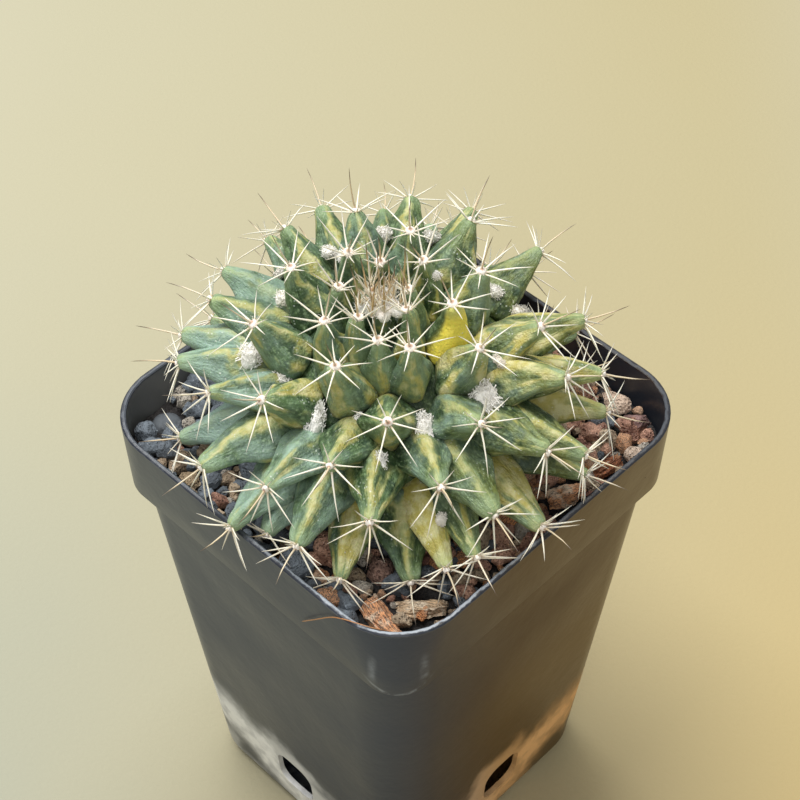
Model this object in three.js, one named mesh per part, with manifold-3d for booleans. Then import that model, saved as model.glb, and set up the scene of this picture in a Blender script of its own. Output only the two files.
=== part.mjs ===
// A clump of pointed, keeled tubercles on a low dome, growing in a square plastic pot.
// Lengths are in millimetres. +Z is up, and the origin is on the table under the pot's middle.
// The +X and -Y walls are the two that face the viewer.

import * as THREE from "three";
import { mergeVertices } from "three/addons/utils/BufferGeometryUtils.js";
import Module from "manifold-3d";

const wasm = await Module();
wasm.setup();

// Finishes
const POT_COLOR = 0x35363a;
const SOIL_COLOR = 0x4a3c34;
const PLANT_COLOR = 0x5c7a58;
const SATIN = 0.55;
const WAXY = 0.7;
const ROUGH_STONE = 0.9;

// Pot
const POT_HEIGHT = 96;
const WALL = 1.0;
const FLOOR = 1.4;
const FOOT_HALF = 26.2;
const FOOT_CORNER = 9;
const FOOT_FILLET = 3;
const BODY_TOP_HALF = 32.4;
const BODY_TOP_CORNER = 10.4;
const BAND_LOW_HALF = 33.1;
const BAND_LOW_CORNER = 6.4;
const RIM_HALF = 35;
const RIM_CORNER = 12;
const BAND_HEIGHT = 16.5;
const BAND_STEP = 0.7;
const LIP_ROUND = 0.35;
const CORNER_STEPS = 6;
const DRAIN_WIDTH = 9;
const DRAIN_HEIGHT = 10;
const DRAIN_CORNER = 3;
const DRAIN_CENTRE = 13.5;
const DRAIN_CUT = 12;
const DRAIN_CURVE_STEPS = 3;
const HOLLOW_FILLET = 2;
const LEAST_CORNER = 1;

// Soil
const GAP = 0.3;
const SOIL_LEVEL = POT_HEIGHT - 7.2;
const SOIL_RELIEF = 0.5;
const SOIL_TOP_RINGS = [0.82, 0.62];
const GRAIN_SEED = 71;
const GRAIN_SPACING = 4.8;
const GRAIN_SMALL = 1.7;
const GRAIN_LARGE = 3.2;
const GRAIN_SCATTER = 0.8;
const GRAIN_REACH = 33;
const GRAIN_SKIP_RADIUS = 26;
const GRAIN_TOP = POT_HEIGHT - 3.6;
const GRAIN_LEAST_RISE = 0.7;
const GRAIN_SIZE_POWER = 1.6;
const GRAIN_FLAT = [0.55, 0.9];
const GRAIN_LONG = [0.8, 1.3];
const GRAIN_TILT = 0.28;
const GRAIN_STANDS_OUT = 1.35;
const GRAIN_OFF_WALL = 0.5;
const GRAIN_OFF_CORNER = 7.5;
const GRAIN_CROWDING = 0.7;

// Room that a tubercle's tip keeps from the pot's wall and above its lip
const TIP_REACH = RIM_HALF - WALL - 2.4;
const TIP_OVER_LIP = POT_HEIGHT + 2;
const TIP_UNDER_LIP = POT_HEIGHT - 0.5;

// Room under the plant: half the thickness of a tubercle at its root and tip, and of a spine
const THICK_ROOT = 4.8;
const THICK_TIP = 1.4;
const TUBERCLE_ROOM = 0.4;
const THICK_SPINE = 0.25;
const SPINE_ROOM = 0.5;
const GRAIN_ROOM = 0.5;
const LOOSE_ROOM = 0.6;

// Loose pieces: the radius of a lump of unit size, how rough each kind is, and how it lies
const LUMP_RADIUS = 0.56;
const LUMP_ROUGHNESS = 0.1;
const CHIP_ROUGHNESS = 0.14;
const LOOSE_TILT = 0.12;
const LOOSE_LIFT = 0.6;
const CLEARANCE_GROWTH = 2.6;
// Colour, place, size, turn in degrees and how far each stands out of the bed
const LOOSE = [
  {
    name: "bark_chip", color: 0xb06a42, x: 24.2, y: -27.3,
    size: [7.8, 3.2, 2.2], turn: -13, rise: 0.9, flat: true,
  },
  {
    name: "tan_chip", color: 0xa89070, x: 27.3, y: -22.0,
    size: [6.6, 2.5, 2.2], turn: 50, rise: 0.8, flat: true,
  },
  {
    name: "lava_lump", color: 0x7a5f58, x: 17.4, y: -21.1,
    size: [5.0, 3.7, 3.2], turn: -45, rise: 0.7,
  },
  {
    name: "grey_pebble", color: 0x4c4f55, x: -29.4, y: -24.4,
    size: [5.3, 5.0, 4.2], turn: 20, rise: 0.75,
  },
  {
    name: "beige_lump", color: 0xb8a07c, x: -16.6, y: -30.4,
    size: [3.4, 3.0, 2.6], turn: 35, rise: 0.7,
  },
  {
    name: "cream_chunk", color: 0xb7a090, x: 21.6, y: 30.2,
    size: [5.0, 4.2, 3.8], turn: 10, rise: 0.7,
  },
  {
    name: "mauve_lump", color: 0x6d5458, x: 26.6, y: 28.8,
    size: [4.8, 3.4, 3.2], turn: 60, rise: 0.7,
  },
  {
    name: "cream_pebble", color: 0xc8b498, x: 31.2, y: 23.6,
    size: [3.2, 2.8, 2.6], turn: 0, rise: 0.75,
  },
  {
    name: "red_chip", color: 0x93513c, x: 29.4, y: 18.6,
    size: [4.6, 2.2, 1.8], turn: 80, rise: 0.8, flat: true,
  },
  {
    name: "orange_chip", color: 0xa8663f, x: 28.8, y: 9.6,
    size: [5.4, 3.0, 2.0], turn: 65, rise: 0.8, flat: true,
  },
];

// Plant: the tips of the tubercles lie on a low dome that leans a little to the left
const DOME_X = -1.5;
const DOME_Y = -0.1;
const DOME_Z = POT_HEIGHT + 5.2;
const DOME_LEAN_X = THREE.MathUtils.degToRad(5.4);
const DOME_LEAN_Y = THREE.MathUtils.degToRad(1.2);
const DOME_RADIUS = 36.1;
const DOME_RISE = 24.8;
const DOME_POWER = 1.62;
const CROWN_DIP = 5;
const CROWN_WIDTH = 0.17;
const CORE_RADIUS = 21.5;
const CORE_RISE = 14;
const CORE_SIDES = 14;
const CORE_BANDS = 8;
const ROOT_START = 1.22;
const ROOT_CLOSE = 0.148;
const STEM_RADIUS = 13;
const STEM_TAPER = 0.9;
const STEM_SIDES = 18;
const STEM_FOOT = SOIL_LEVEL - 9;
const STEM_HOLE_SIDES = 24;
const STEM_HOLE_ABOVE = 3;

// Spiral: each new tubercle turns by the divergence angle and sits further down the dome
const TUBERCLES = 79;
const DIVERGENCE = 137.41;
const FIRST_TURN = 322.7;
const SPIRAL_SCALE = 0.0641;
const SPIRAL_POWER = 0.781;
// Tubercles that stray from the spiral: extra turn and extra lean, in degrees
const STRAYS = {
  2: [-8, 3], 3: [16, 5], 6: [4, -2], 8: [10, 1], 9: [2, -3], 11: [9, -4], 13: [0, -4],
  16: [4, -4], 17: [-1, 6], 18: [2, -2], 20: [4, 7], 22: [-8, 9], 23: [-4, 3], 25: [-1, 15],
  27: [-5, 7], 28: [4, 10], 30: [-6, 8], 31: [3, 3], 33: [1, 14], 36: [-5, 2], 37: [2, 1],
  41: [3, 36], 42: [-1, -3], 43: [-5, 12], 46: [1, 24], 47: [-2, -3], 48: [9, -9],
  49: [-1, 32], 51: [2, 24], 52: [-4, -3], 54: [1, 26], 55: [3, 8], 56: [7, 21], 57: [7, 27],
  59: [0, -3], 60: [-3, 8], 62: [-3, 25], 63: [-4, 10], 64: [2, 15], 65: [6, 7], 67: [0, -2],
  68: [-3, -11], 71: [-8, -4], 72: [0, 1], 73: [5, 0],
};
// Places on the spiral where no tubercle grew
const LEFT_OUT = [38, 53, 61, 66, 69, 70, 75, 78];

// Tubercle
const TUBERCLE_SIDES = 8;
const BODY_ROWS = 3;
const YOUNG_SIZE = 0.42;
const LEAST_END_SIZE = 0.8;
const STATIONS = [-0.15, 0.3, 0.7, 0.96, 1.0, 1.01];
const WIDTHS = [4.9, 4.4, 2.4, 1.35, 0.75, 0.3];
const TOP_HEIGHTS = [4.0, 3.5, 2.0, 1.2, 0.75, 0.3];
const KEEL_HEIGHTS = [4.4, 4.0, 2.5, 1.25, 0.75, 0.3];
const SECTION_POWER = 1.5;
const YOUNG_LEAN = 36;
const ROOT_UPRIGHT = 1.3;
const CURVE_BEND = 0.5;

// Spines
const SPINE_SEED = 29;
const SPINE_LONG = 7.0;
const SPINE_SHORT = 4.2;
const CENTRAL_LENGTH = 6.5;
const SPREAD_OLD = 68;
const SPREAD_YOUNG = 22;
const YOUNG_SPINE_SIZE = 0.75;
const SPINE_SCATTER = 0.35;
const CENTRAL_SCATTER = 0.5;
const COLLAR_RADIUS = 0.5;
const SPINE_TRIES = 20;
const SPINE_RAISE = 0.12;
const SPINE_SHORTEN = 0.03;
const SPINE_OVER_SOIL = 1.6;
const SPINE_OVER_LIP = 0.6;
const LIP_MARGIN = 0.8;

/** Seeded random numbers between 0 and 1. */
function seeded(seed) {
  let state = seed;
  return () => {
    state = (state * 48271) % 2147483647;
    return state / 2147483647;
  };
}

/** Turn a geometry into a solid after its doubled vertices are joined. */
function toSolid(geometry) {
  const bare = geometry.clone();
  bare.deleteAttribute("normal");
  bare.deleteAttribute("uv");
  const merged = mergeVertices(bare, 1e-5);
  const mesh = new wasm.Mesh({
    numProp: 3,
    vertProperties: Float32Array.from(merged.attributes.position.array),
    triVerts: Uint32Array.from(merged.index.array),
  });
  return new wasm.Manifold(mesh);
}

/** Turn a solid back into a named mesh with its own material. */
function toMesh(solid, name, color, roughness) {
  const raw = solid.getMesh();
  const geometry = new THREE.BufferGeometry();
  const positions = Float32Array.from(raw.vertProperties);
  geometry.setAttribute("position", new THREE.BufferAttribute(positions, 3));
  geometry.setIndex(Array.from(raw.triVerts));
  geometry.computeVertexNormals();
  const material = new THREE.MeshStandardMaterial({ color, roughness, metalness: 0 });
  const mesh = new THREE.Mesh(geometry, material);
  mesh.name = name;
  return mesh;
}

/** Join a list of solids into one. */
function unite(solids) {
  return wasm.Manifold.union(solids);
}

/** A closed tube of rings: place(angle, row, isAxis) gives each vertex of a unit cylinder. */
function ringed(sides, rows, place) {
  const geometry = new THREE.CylinderGeometry(1, 1, rows - 1, sides, rows - 1);
  const position = geometry.attributes.position;
  for (let i = 0; i < position.count; i += 1) {
    const x = position.getX(i);
    const y = position.getY(i);
    const z = position.getZ(i);
    const row = Math.round(y + (rows - 1) / 2);
    const isAxis = Math.hypot(x, z) < 0.5;
    const angle = Math.atan2(-z, x);
    const point = place(angle, row, isAxis);
    position.setXYZ(i, point.x, point.y, point.z);
  }
  return geometry;
}

/** Draw every second face of a tube's last band of faces out to a point. */
function drawOut(geometry, sides, rows, ends) {
  const positions = Array.from(geometry.attributes.position.array);
  const faces = Array.from(geometry.index.array);
  for (let side = 0; side < sides; side += 1) {
    const face = (side * (rows - 1) * 2 + 1) * 3;
    const [a, b, c] = faces.slice(face, face + 3);
    const end = positions.length / 3;
    positions.push(ends[side].x, ends[side].y, ends[side].z);
    faces.splice(face, 3, a, b, end);
    faces.push(b, c, end, c, a, end);
  }
  const drawn = new THREE.BufferGeometry();
  drawn.setAttribute("position", new THREE.Float32BufferAttribute(positions, 3));
  drawn.setIndex(faces);
  return drawn;
}

/** A point on a square with rounded corners, for one of its evenly numbered steps. */
function squarePoint(step, half, corner) {
  const perSide = CORNER_STEPS + 1;
  const side = Math.floor(step / perSide);
  const inCorner = step - side * perSide;
  const turn = (side * Math.PI) / 2;
  const angle = turn + (inCorner / CORNER_STEPS) * (Math.PI / 2);
  const middle = turn + Math.PI / 4;
  const reach = (half - corner) * Math.SQRT2;
  const x = Math.cos(middle) * reach + Math.cos(angle) * corner;
  const y = Math.sin(middle) * reach + Math.sin(angle) * corner;
  return [x, y];
}

/** A solid lofted through rounded squares, each given as [z, half width, corner radius]. */
function squareLoft(rings, lift = () => 0) {
  const sides = 4 * (CORNER_STEPS + 1);
  const geometry = ringed(sides, rings.length, (angle, row, isAxis) => {
    const [z, half, corner] = rings[row];
    if (isAxis) {
      return new THREE.Vector3(0, 0, z + lift(0, 0, row));
    }
    const turned = (angle + 2 * Math.PI) % (2 * Math.PI);
    const step = Math.round((turned / (2 * Math.PI)) * sides) % sides;
    const [x, y] = squarePoint(step, half, corner);
    return new THREE.Vector3(x, y, z + lift(x, y, row));
  });
  return toSolid(geometry);
}

/** Half width and corner radius of the pot's body at a height, without the band. */
function bodyAt(z) {
  const share = z / (POT_HEIGHT - BAND_HEIGHT);
  const half = THREE.MathUtils.lerp(FOOT_HALF, BODY_TOP_HALF, share);
  const corner = THREE.MathUtils.lerp(FOOT_CORNER, BODY_TOP_CORNER, share);
  return [half, corner];
}

/** Half width and corner radius of the band at a height. */
function bandAt(z) {
  const share = (z - (POT_HEIGHT - BAND_HEIGHT)) / BAND_HEIGHT;
  const half = THREE.MathUtils.lerp(BAND_LOW_HALF, RIM_HALF, share);
  const corner = THREE.MathUtils.lerp(BAND_LOW_CORNER, RIM_CORNER, share);
  return [half, corner];
}

/** A ring of the pot at a height, moved inward. */
function potRing(z, inset, profile) {
  const [half, corner] = profile(z);
  return [z, half - inset, Math.max(corner - inset, LEAST_CORNER)];
}

/** The hollow of the pot, drawn in by a further clearance and ended at a height. */
function hollowRings(clearance, bottom, top) {
  const inset = WALL + clearance;
  const step = POT_HEIGHT - BAND_HEIGHT + WALL + clearance;
  const rings = [
    [bottom, FOOT_HALF - FOOT_FILLET * 0.6 - clearance, FOOT_CORNER - FOOT_FILLET * 0.6],
    potRing(bottom + HOLLOW_FILLET, inset, bodyAt),
    potRing(step, inset, bodyAt),
    potRing(step + BAND_STEP, inset, bandAt),
    potRing(top, inset, bandAt),
  ];
  return rings;
}

/** The pot: a tapered square shell with a band under its lip and a drain hole in each wall. */
function buildPot() {
  const step = POT_HEIGHT - BAND_HEIGHT;
  const outer = squareLoft([
    [0, FOOT_HALF - FOOT_FILLET, FOOT_CORNER - FOOT_FILLET * 0.8],
    [FOOT_FILLET * 0.3, FOOT_HALF - FOOT_FILLET * 0.3, FOOT_CORNER - FOOT_FILLET * 0.3],
    potRing(FOOT_FILLET, 0, bodyAt),
    potRing(step - BAND_STEP * 0.3, 0, bodyAt),
    potRing(step + BAND_STEP * 0.7, 0, bandAt),
    potRing(POT_HEIGHT - LIP_ROUND, 0, bandAt),
    [POT_HEIGHT, RIM_HALF - LIP_ROUND, RIM_CORNER - LIP_ROUND],
  ]);
  const hollow = squareLoft(hollowRings(0, FLOOR, POT_HEIGHT + 1));
  const shape = new THREE.Shape();
  const w = DRAIN_WIDTH / 2;
  const h = DRAIN_HEIGHT / 2;
  const c = DRAIN_CORNER;
  shape.moveTo(-w + c, -h);
  shape.lineTo(w - c, -h);
  shape.quadraticCurveTo(w, -h, w, -h + c);
  shape.lineTo(w, h - c);
  shape.quadraticCurveTo(w, h, w - c, h);
  shape.lineTo(-w + c, h);
  shape.quadraticCurveTo(-w, h, -w, h - c);
  shape.lineTo(-w, -h + c);
  shape.quadraticCurveTo(-w, -h, -w + c, -h);
  const drains = [];
  for (let side = 0; side < 4; side += 1) {
    const drain = new THREE.ExtrudeGeometry(shape, {
      depth: DRAIN_CUT,
      bevelEnabled: false,
      curveSegments: DRAIN_CURVE_STEPS,
    });
    drain.rotateX(Math.PI / 2);
    drain.translate(0, -FOOT_HALF + DRAIN_CUT * 0.6, DRAIN_CENTRE);
    drain.rotateZ((side * Math.PI) / 2);
    drains.push(toSolid(drain));
  }
  return outer.subtract(hollow).subtract(unite(drains));
}

/** Turn of the whole dome of tubercles. */
const LEAN = new THREE.Matrix4().makeRotationX(DOME_LEAN_X)
  .multiply(new THREE.Matrix4().makeRotationY(DOME_LEAN_Y));

/** A point of a dome, given by lean from upright and turn about the axis, both in radians. */
function onDome(lean, turn, radius, rise, power, dip) {
  const s = Math.max(Math.sin(lean), 0);
  const c = Math.cos(lean);
  const r = radius * s ** (2 / power);
  const z = rise * Math.sign(c) * Math.abs(c) ** (2 / power);
  const low = dip * Math.exp(-((lean / CROWN_WIDTH) ** 2));
  const point = new THREE.Vector3(r * Math.cos(turn), r * Math.sin(turn), z - low);
  return point.applyMatrix4(LEAN).add(new THREE.Vector3(DOME_X, DOME_Y, DOME_Z));
}

/** Keep a tip off the pot: over the lip where it nearly clears it, else inside the wall. */
function clearTip(tip) {
  const reach = Math.max(Math.abs(tip.x), Math.abs(tip.y));
  if (reach < TIP_REACH || tip.z > TIP_OVER_LIP) {
    return tip;
  }
  if (tip.z > TIP_UNDER_LIP) {
    return tip.clone().setZ(TIP_OVER_LIP);
  }
  const share = TIP_REACH / reach;
  return new THREE.Vector3(tip.x * share, tip.y * share, tip.z);
}

/** Everything that places one tubercle: its curve, its length, its side and its growth. */
function placeTubercle(index) {
  const [extraTurn, extraLean] = STRAYS[index] ?? [0, 0];
  const turn = THREE.MathUtils.degToRad(FIRST_TURN - DIVERGENCE * index + extraTurn);
  const rule = SPIRAL_SCALE * (index + 0.5) ** SPIRAL_POWER;
  const lean = rule + THREE.MathUtils.degToRad(extraLean);
  const growth = THREE.MathUtils.smoothstep(lean, 0, THREE.MathUtils.degToRad(YOUNG_LEAN));
  const free = onDome(lean, turn, DOME_RADIUS, DOME_RISE, DOME_POWER, CROWN_DIP);
  const tip = clearTip(free);
  const rootLean = lean * (ROOT_START - ROOT_CLOSE * lean);
  const root = onDome(rootLean, turn, CORE_RADIUS, CORE_RISE, 2, 0);
  const normal = new THREE.Vector3(
    Math.sin(rootLean) * Math.cos(turn),
    Math.sin(rootLean) * Math.sin(turn),
    Math.cos(rootLean) * ROOT_UPRIGHT,
  ).applyMatrix4(LEAN).normalize();
  const reach = tip.distanceTo(root);
  const bend = root.clone().addScaledVector(normal, reach * CURVE_BEND);
  const curve = new THREE.QuadraticBezierCurve3(root, bend, tip);
  const side = new THREE.Vector3(-Math.sin(turn), Math.cos(turn), 0).applyMatrix4(LEAN);
  return { growth, curve, side, reach };
}

/** Centre, side, upper side and direction of a tubercle at a station along its curve. */
function stationOf(tubercle, t) {
  const held = THREE.MathUtils.clamp(t, 0, 1);
  const along = tubercle.curve.getTangent(Math.max(held, 0.01));
  const centre = tubercle.curve.getPoint(held);
  if (t < 0) {
    centre.addScaledVector(along, t * tubercle.reach);
  }
  const up = new THREE.Vector3().crossVectors(along, tubercle.side).normalize();
  return { centre, along, side: tubercle.side, up };
}

/** One tubercle with its spines: eight sides, a keel below, and a collar the spines rise from. */
function tubercleSolid(tubercle) {
  const size = THREE.MathUtils.lerp(YOUNG_SIZE, 1, tubercle.growth);
  const rows = STATIONS.length;
  const geometry = ringed(TUBERCLE_SIDES, rows, (angle, row, isAxis) => {
    const { centre, side, up } = stationOf(tubercle, STATIONS[row]);
    if (isAxis) {
      return row === 0 ? centre : tubercle.central;
    }
    const x = Math.cos(angle);
    const y = Math.sin(angle);
    const power = row < BODY_ROWS ? SECTION_POWER : 2;
    const shape = (Math.abs(x) ** power + Math.abs(y) ** power) ** (-1 / power);
    const height = y > 0 ? TOP_HEIGHTS[row] : KEEL_HEIGHTS[row];
    const rowSize = row < BODY_ROWS ? size : Math.max(size, LEAST_END_SIZE);
    return centre.clone()
      .addScaledVector(side, x * shape * WIDTHS[row] * rowSize)
      .addScaledVector(up, y * shape * height * rowSize);
  });
  const ends = tubercle.spines.map((spine) => spine.end);
  return toSolid(drawOut(geometry, TUBERCLE_SIDES, rows, ends));
}

/** The height a spine has to keep above what lies under it. */
function floorUnder(x, y) {
  const reach = Math.max(Math.abs(x), Math.abs(y));
  const diagonal = (Math.abs(x) + Math.abs(y)) / Math.SQRT2;
  const rimDiagonal = RIM_HALF * Math.SQRT2 - RIM_CORNER * (Math.SQRT2 - 1);
  const outside = Math.max(reach - RIM_HALF, diagonal - rimDiagonal);
  if (outside > LIP_MARGIN) {
    return 0;
  }
  const overLip = outside > -WALL - LIP_MARGIN;
  return overLip ? POT_HEIGHT + SPINE_OVER_LIP : SOIL_LEVEL + SPINE_OVER_SOIL;
}

/** Whether a spine stays clear of the soil and the rim along its whole length. */
function isClear(root, end) {
  for (let t = 0.1; t <= 1.001; t += 0.1) {
    const point = root.clone().lerp(end, t);
    if (point.z < floorUnder(point.x, point.y)) {
      return false;
    }
  }
  return true;
}

/** A spine's end, with the spine raised and shortened until it clears the soil and the rim. */
function clearEnd(root, along, out, open, length) {
  const way = along.clone().multiplyScalar(Math.cos(open))
    .addScaledVector(out, Math.sin(open));
  let end = root;
  for (let attempt = 0; attempt < SPINE_TRIES; attempt += 1) {
    const raised = way.clone().add(new THREE.Vector3(0, 0, attempt * SPINE_RAISE)).normalize();
    end = root.clone().addScaledVector(raised, length * (1 - attempt * SPINE_SHORTEN));
    if (isClear(root, end)) {
      break;
    }
  }
  return end;
}

/** Give a tubercle its radial spines, longest below, and its central one. */
function addSpines(tubercle, random) {
  const { centre, along, side, up } = stationOf(tubercle, 1);
  const spread = THREE.MathUtils.degToRad(
    THREE.MathUtils.lerp(SPREAD_YOUNG, SPREAD_OLD, tubercle.growth),
  );
  const size = THREE.MathUtils.lerp(YOUNG_SPINE_SIZE, 1, tubercle.growth);
  const spines = [];
  for (let k = 0; k < TUBERCLE_SIDES; k += 1) {
    const stray = (random() - 0.5) * SPINE_SCATTER;
    const around = -Math.PI / 2 + ((k + 0.5) / TUBERCLE_SIDES) * 2 * Math.PI + stray;
    const low = (1 - Math.sin(around)) / 2;
    const share = THREE.MathUtils.lerp(SPINE_SHORT, SPINE_LONG, low ** 0.7);
    const length = share * (0.92 + 0.16 * random()) * size;
    const out = side.clone().multiplyScalar(Math.cos(around))
      .addScaledVector(up, Math.sin(around));
    const root = centre.clone().addScaledVector(out, COLLAR_RADIUS);
    spines.push({ root, end: clearEnd(root, along, out, spread, length) });
  }
  const centralOpen = (random() - 0.5) * CENTRAL_SCATTER;
  const central = clearEnd(centre, along, up, centralOpen, CENTRAL_LENGTH * size);
  return { ...tubercle, spines, central };
}

/** The cactus: core and stem, and tubercles with spines along the spiral, as one solid. */
function buildCactus(tubercles) {
  const core = new THREE.SphereGeometry(1, CORE_SIDES, CORE_BANDS);
  core.rotateX(Math.PI / 2);
  core.scale(CORE_RADIUS, CORE_RADIUS, CORE_RISE);
  core.applyMatrix4(LEAN);
  core.translate(DOME_X, DOME_Y, DOME_Z);
  const height = DOME_Z - STEM_FOOT;
  const foot = STEM_RADIUS * STEM_TAPER;
  const stem = new THREE.CylinderGeometry(STEM_RADIUS, foot, height, STEM_SIDES, 1);
  stem.rotateX(Math.PI / 2);
  stem.translate(DOME_X, DOME_Y, STEM_FOOT + height / 2);
  return unite([toSolid(core), toSolid(stem), ...tubercles.map(tubercleSolid)]);
}

/** The lowest part of the plant over a round patch of soil. */
function plantAbove(x, y, radius, tubercles) {
  let lowest = Infinity;
  for (const tubercle of tubercles) {
    for (let t = 0.3; t <= 1.001; t += 0.1) {
      const { centre } = stationOf(tubercle, t);
      const thick = THREE.MathUtils.lerp(THICK_ROOT, THICK_TIP, t);
      if (Math.hypot(centre.x - x, centre.y - y) < radius + thick + TUBERCLE_ROOM) {
        lowest = Math.min(lowest, centre.z - thick);
      }
    }
  }
  const spines = tubercles.flatMap((tubercle) => tubercle.spines);
  for (const { root, end } of spines) {
    for (let t = 0.2; t <= 1.001; t += 0.1) {
      const point = root.clone().lerp(end, t);
      if (Math.hypot(point.x - x, point.y - y) < radius + SPINE_ROOM) {
        lowest = Math.min(lowest, point.z - THICK_SPINE);
      }
    }
  }
  return lowest;
}

/** Grains of grit over the soil: centre, half sizes and turn of each. */
function placeGrains(tubercles, loose) {
  const random = seeded(GRAIN_SEED);
  const grains = [];
  const scatter = () => (random() - 0.5) * GRAIN_SPACING * GRAIN_SCATTER;
  for (let gx = -GRAIN_REACH; gx <= GRAIN_REACH; gx += GRAIN_SPACING) {
    for (let gy = -GRAIN_REACH; gy <= GRAIN_REACH; gy += GRAIN_SPACING) {
      const x = gx + scatter();
      const y = gy + scatter();
      const size = THREE.MathUtils.lerp(GRAIN_SMALL, GRAIN_LARGE, random() ** GRAIN_SIZE_POWER);
      const flat = THREE.MathUtils.lerp(...GRAIN_FLAT, random());
      const long = THREE.MathUtils.lerp(...GRAIN_LONG, random());
      const turn = random() * Math.PI;
      const tilt = (random() - 0.5) * GRAIN_TILT;
      const wall = bandAt(SOIL_LEVEL)[0] - WALL - GRAIN_OFF_WALL - size * long;
      const inside = Math.max(Math.abs(x), Math.abs(y)) < wall
        && Math.hypot(x, y) < wall + GRAIN_OFF_CORNER;
      const open = Math.hypot(x - DOME_X, y - DOME_Y) > GRAIN_SKIP_RADIUS;
      if (!inside || !open) {
        continue;
      }
      const crowded = loose.some((piece) => (
        Math.hypot(piece.x - x, piece.y - y) < piece.radius + size * GRAIN_CROWDING
      ));
      if (crowded) {
        continue;
      }
      const above = plantAbove(x, y, size * long, tubercles) - GRAIN_ROOM;
      const free = SOIL_LEVEL + size * flat * GRAIN_STANDS_OUT;
      const top = Math.min(free, above, GRAIN_TOP);
      if (top < SOIL_LEVEL + GRAIN_LEAST_RISE) {
        continue;
      }
      grains.push({ x, y, z: top - size * flat, size, flat, long, turn, tilt });
    }
  }
  return grains;
}

/** One faceted grain. */
function grainSolid(grain) {
  const stone = new THREE.IcosahedronGeometry(1, 0);
  stone.scale(grain.size * grain.long, grain.size, grain.size * grain.flat);
  stone.rotateX(grain.tilt);
  stone.rotateZ(grain.turn);
  stone.translate(grain.x, grain.y, grain.z);
  return toSolid(stone);
}

/** Push each vertex in or out by an amount that depends only on where it is. */
function roughen(geometry, amount, seed) {
  const position = geometry.attributes.position;
  for (let i = 0; i < position.count; i += 1) {
    const x = position.getX(i);
    const y = position.getY(i);
    const z = position.getZ(i);
    const wave = Math.sin(x * 9.1 + y * 5.3 + seed) + Math.sin(y * 7.7 - z * 8.9 + seed * 2);
    const share = 1 + amount * wave * 0.5;
    position.setXYZ(i, x * share, y * share, z * share);
  }
}

/** One loose piece, larger all round by a clearance. */
function looseSolid(piece, clearance) {
  const [length, width, height] = piece.size;
  const geometry = piece.flat
    ? new THREE.BoxGeometry(1, 1, 1, 3, 2, 1)
    : new THREE.IcosahedronGeometry(LUMP_RADIUS, 1);
  roughen(geometry, piece.flat ? CHIP_ROUGHNESS : LUMP_ROUGHNESS, piece.x);
  const grow = clearance * CLEARANCE_GROWTH;
  geometry.scale(length + grow, width + grow, height + grow);
  geometry.rotateX(LOOSE_TILT);
  geometry.rotateZ(THREE.MathUtils.degToRad(piece.turn));
  geometry.translate(piece.x, piece.y, piece.z);
  return toSolid(geometry);
}

/** Settle each loose piece on the bed, under whatever part of the plant hangs over it. */
function settleLoose(tubercles) {
  return LOOSE.map((piece) => {
    const [length, width, height] = piece.size;
    const radius = (length + width) / 4;
    const above = plantAbove(piece.x, piece.y, radius, tubercles) - LOOSE_ROOM;
    const top = Math.min(SOIL_LEVEL + LOOSE_LIFT + height * piece.rise, above);
    return { ...piece, z: top - height * LUMP_RADIUS, radius: length * 0.5 };
  });
}

/** The largest single body of a solid. */
function largestBody(solid) {
  const bodies = solid.decompose();
  return bodies.reduce((best, body) => (body.volume() > best.volume() ? body : best));
}

/** The soil that fills the pot: grit grown into its top, a hole for the stem, and hollows. */
function buildSoil(grains, loose) {
  const rings = hollowRings(GAP, FLOOR + GAP, SOIL_LEVEL);
  const [, half, corner] = rings[rings.length - 1];
  for (const share of SOIL_TOP_RINGS) {
    rings.push([SOIL_LEVEL, half * share, corner * share]);
  }
  const relief = (x, y, row) => {
    const onTop = row >= rings.length - SOIL_TOP_RINGS.length;
    return onTop ? SOIL_RELIEF * Math.sin(x * 0.9 + 1) * Math.cos(y * 0.8 - 0.5) : 0;
  };
  const bed = squareLoft(rings, relief);
  const bottom = STEM_FOOT - GAP;
  const depth = SOIL_LEVEL + STEM_HOLE_ABOVE - bottom;
  const radius = STEM_RADIUS + GAP;
  const hole = new THREE.CylinderGeometry(radius, radius, depth, STEM_HOLE_SIDES, 1);
  hole.rotateX(Math.PI / 2);
  hole.translate(DOME_X, DOME_Y, bottom + depth / 2);
  const hollows = loose.map((piece) => looseSolid(piece, GAP));
  const filled = unite([bed, ...grains.map(grainSolid)]);
  return largestBody(filled.subtract(unite([toSolid(hole), ...hollows])));
}

const spineRandom = seeded(SPINE_SEED);
const indices = [...Array(TUBERCLES).keys()].filter((index) => !LEFT_OUT.includes(index));
const tubercles = indices.map((index) => addSpines(placeTubercle(index), spineRandom));
const loose = settleLoose(tubercles);
const grains = placeGrains(tubercles, loose);

const group = new THREE.Group();
group.add(toMesh(buildPot(), "pot", POT_COLOR, SATIN));
group.add(toMesh(buildSoil(grains, loose), "soil", SOIL_COLOR, ROUGH_STONE));
group.add(toMesh(buildCactus(tubercles), "cactus", PLANT_COLOR, WAXY));
for (const piece of loose) {
  group.add(toMesh(looseSolid(piece, 0), piece.name, piece.color, ROUGH_STONE));
}

export default group;
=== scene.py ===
"""Looks of a potted clump of keeled tubercles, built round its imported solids.

Sizes inside the classes are in millimetres. A finished piece is written in metres, in the
solids' own frame: +Z is up, and the origin is under the middle of the pot.
"""

import logging
import math
from collections.abc import Callable, Iterator, Sequence
from contextlib import contextmanager
from dataclasses import dataclass, field
from enum import Enum

import bpy
import numpy as np
from mathutils import Matrix, Vector, noise

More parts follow.
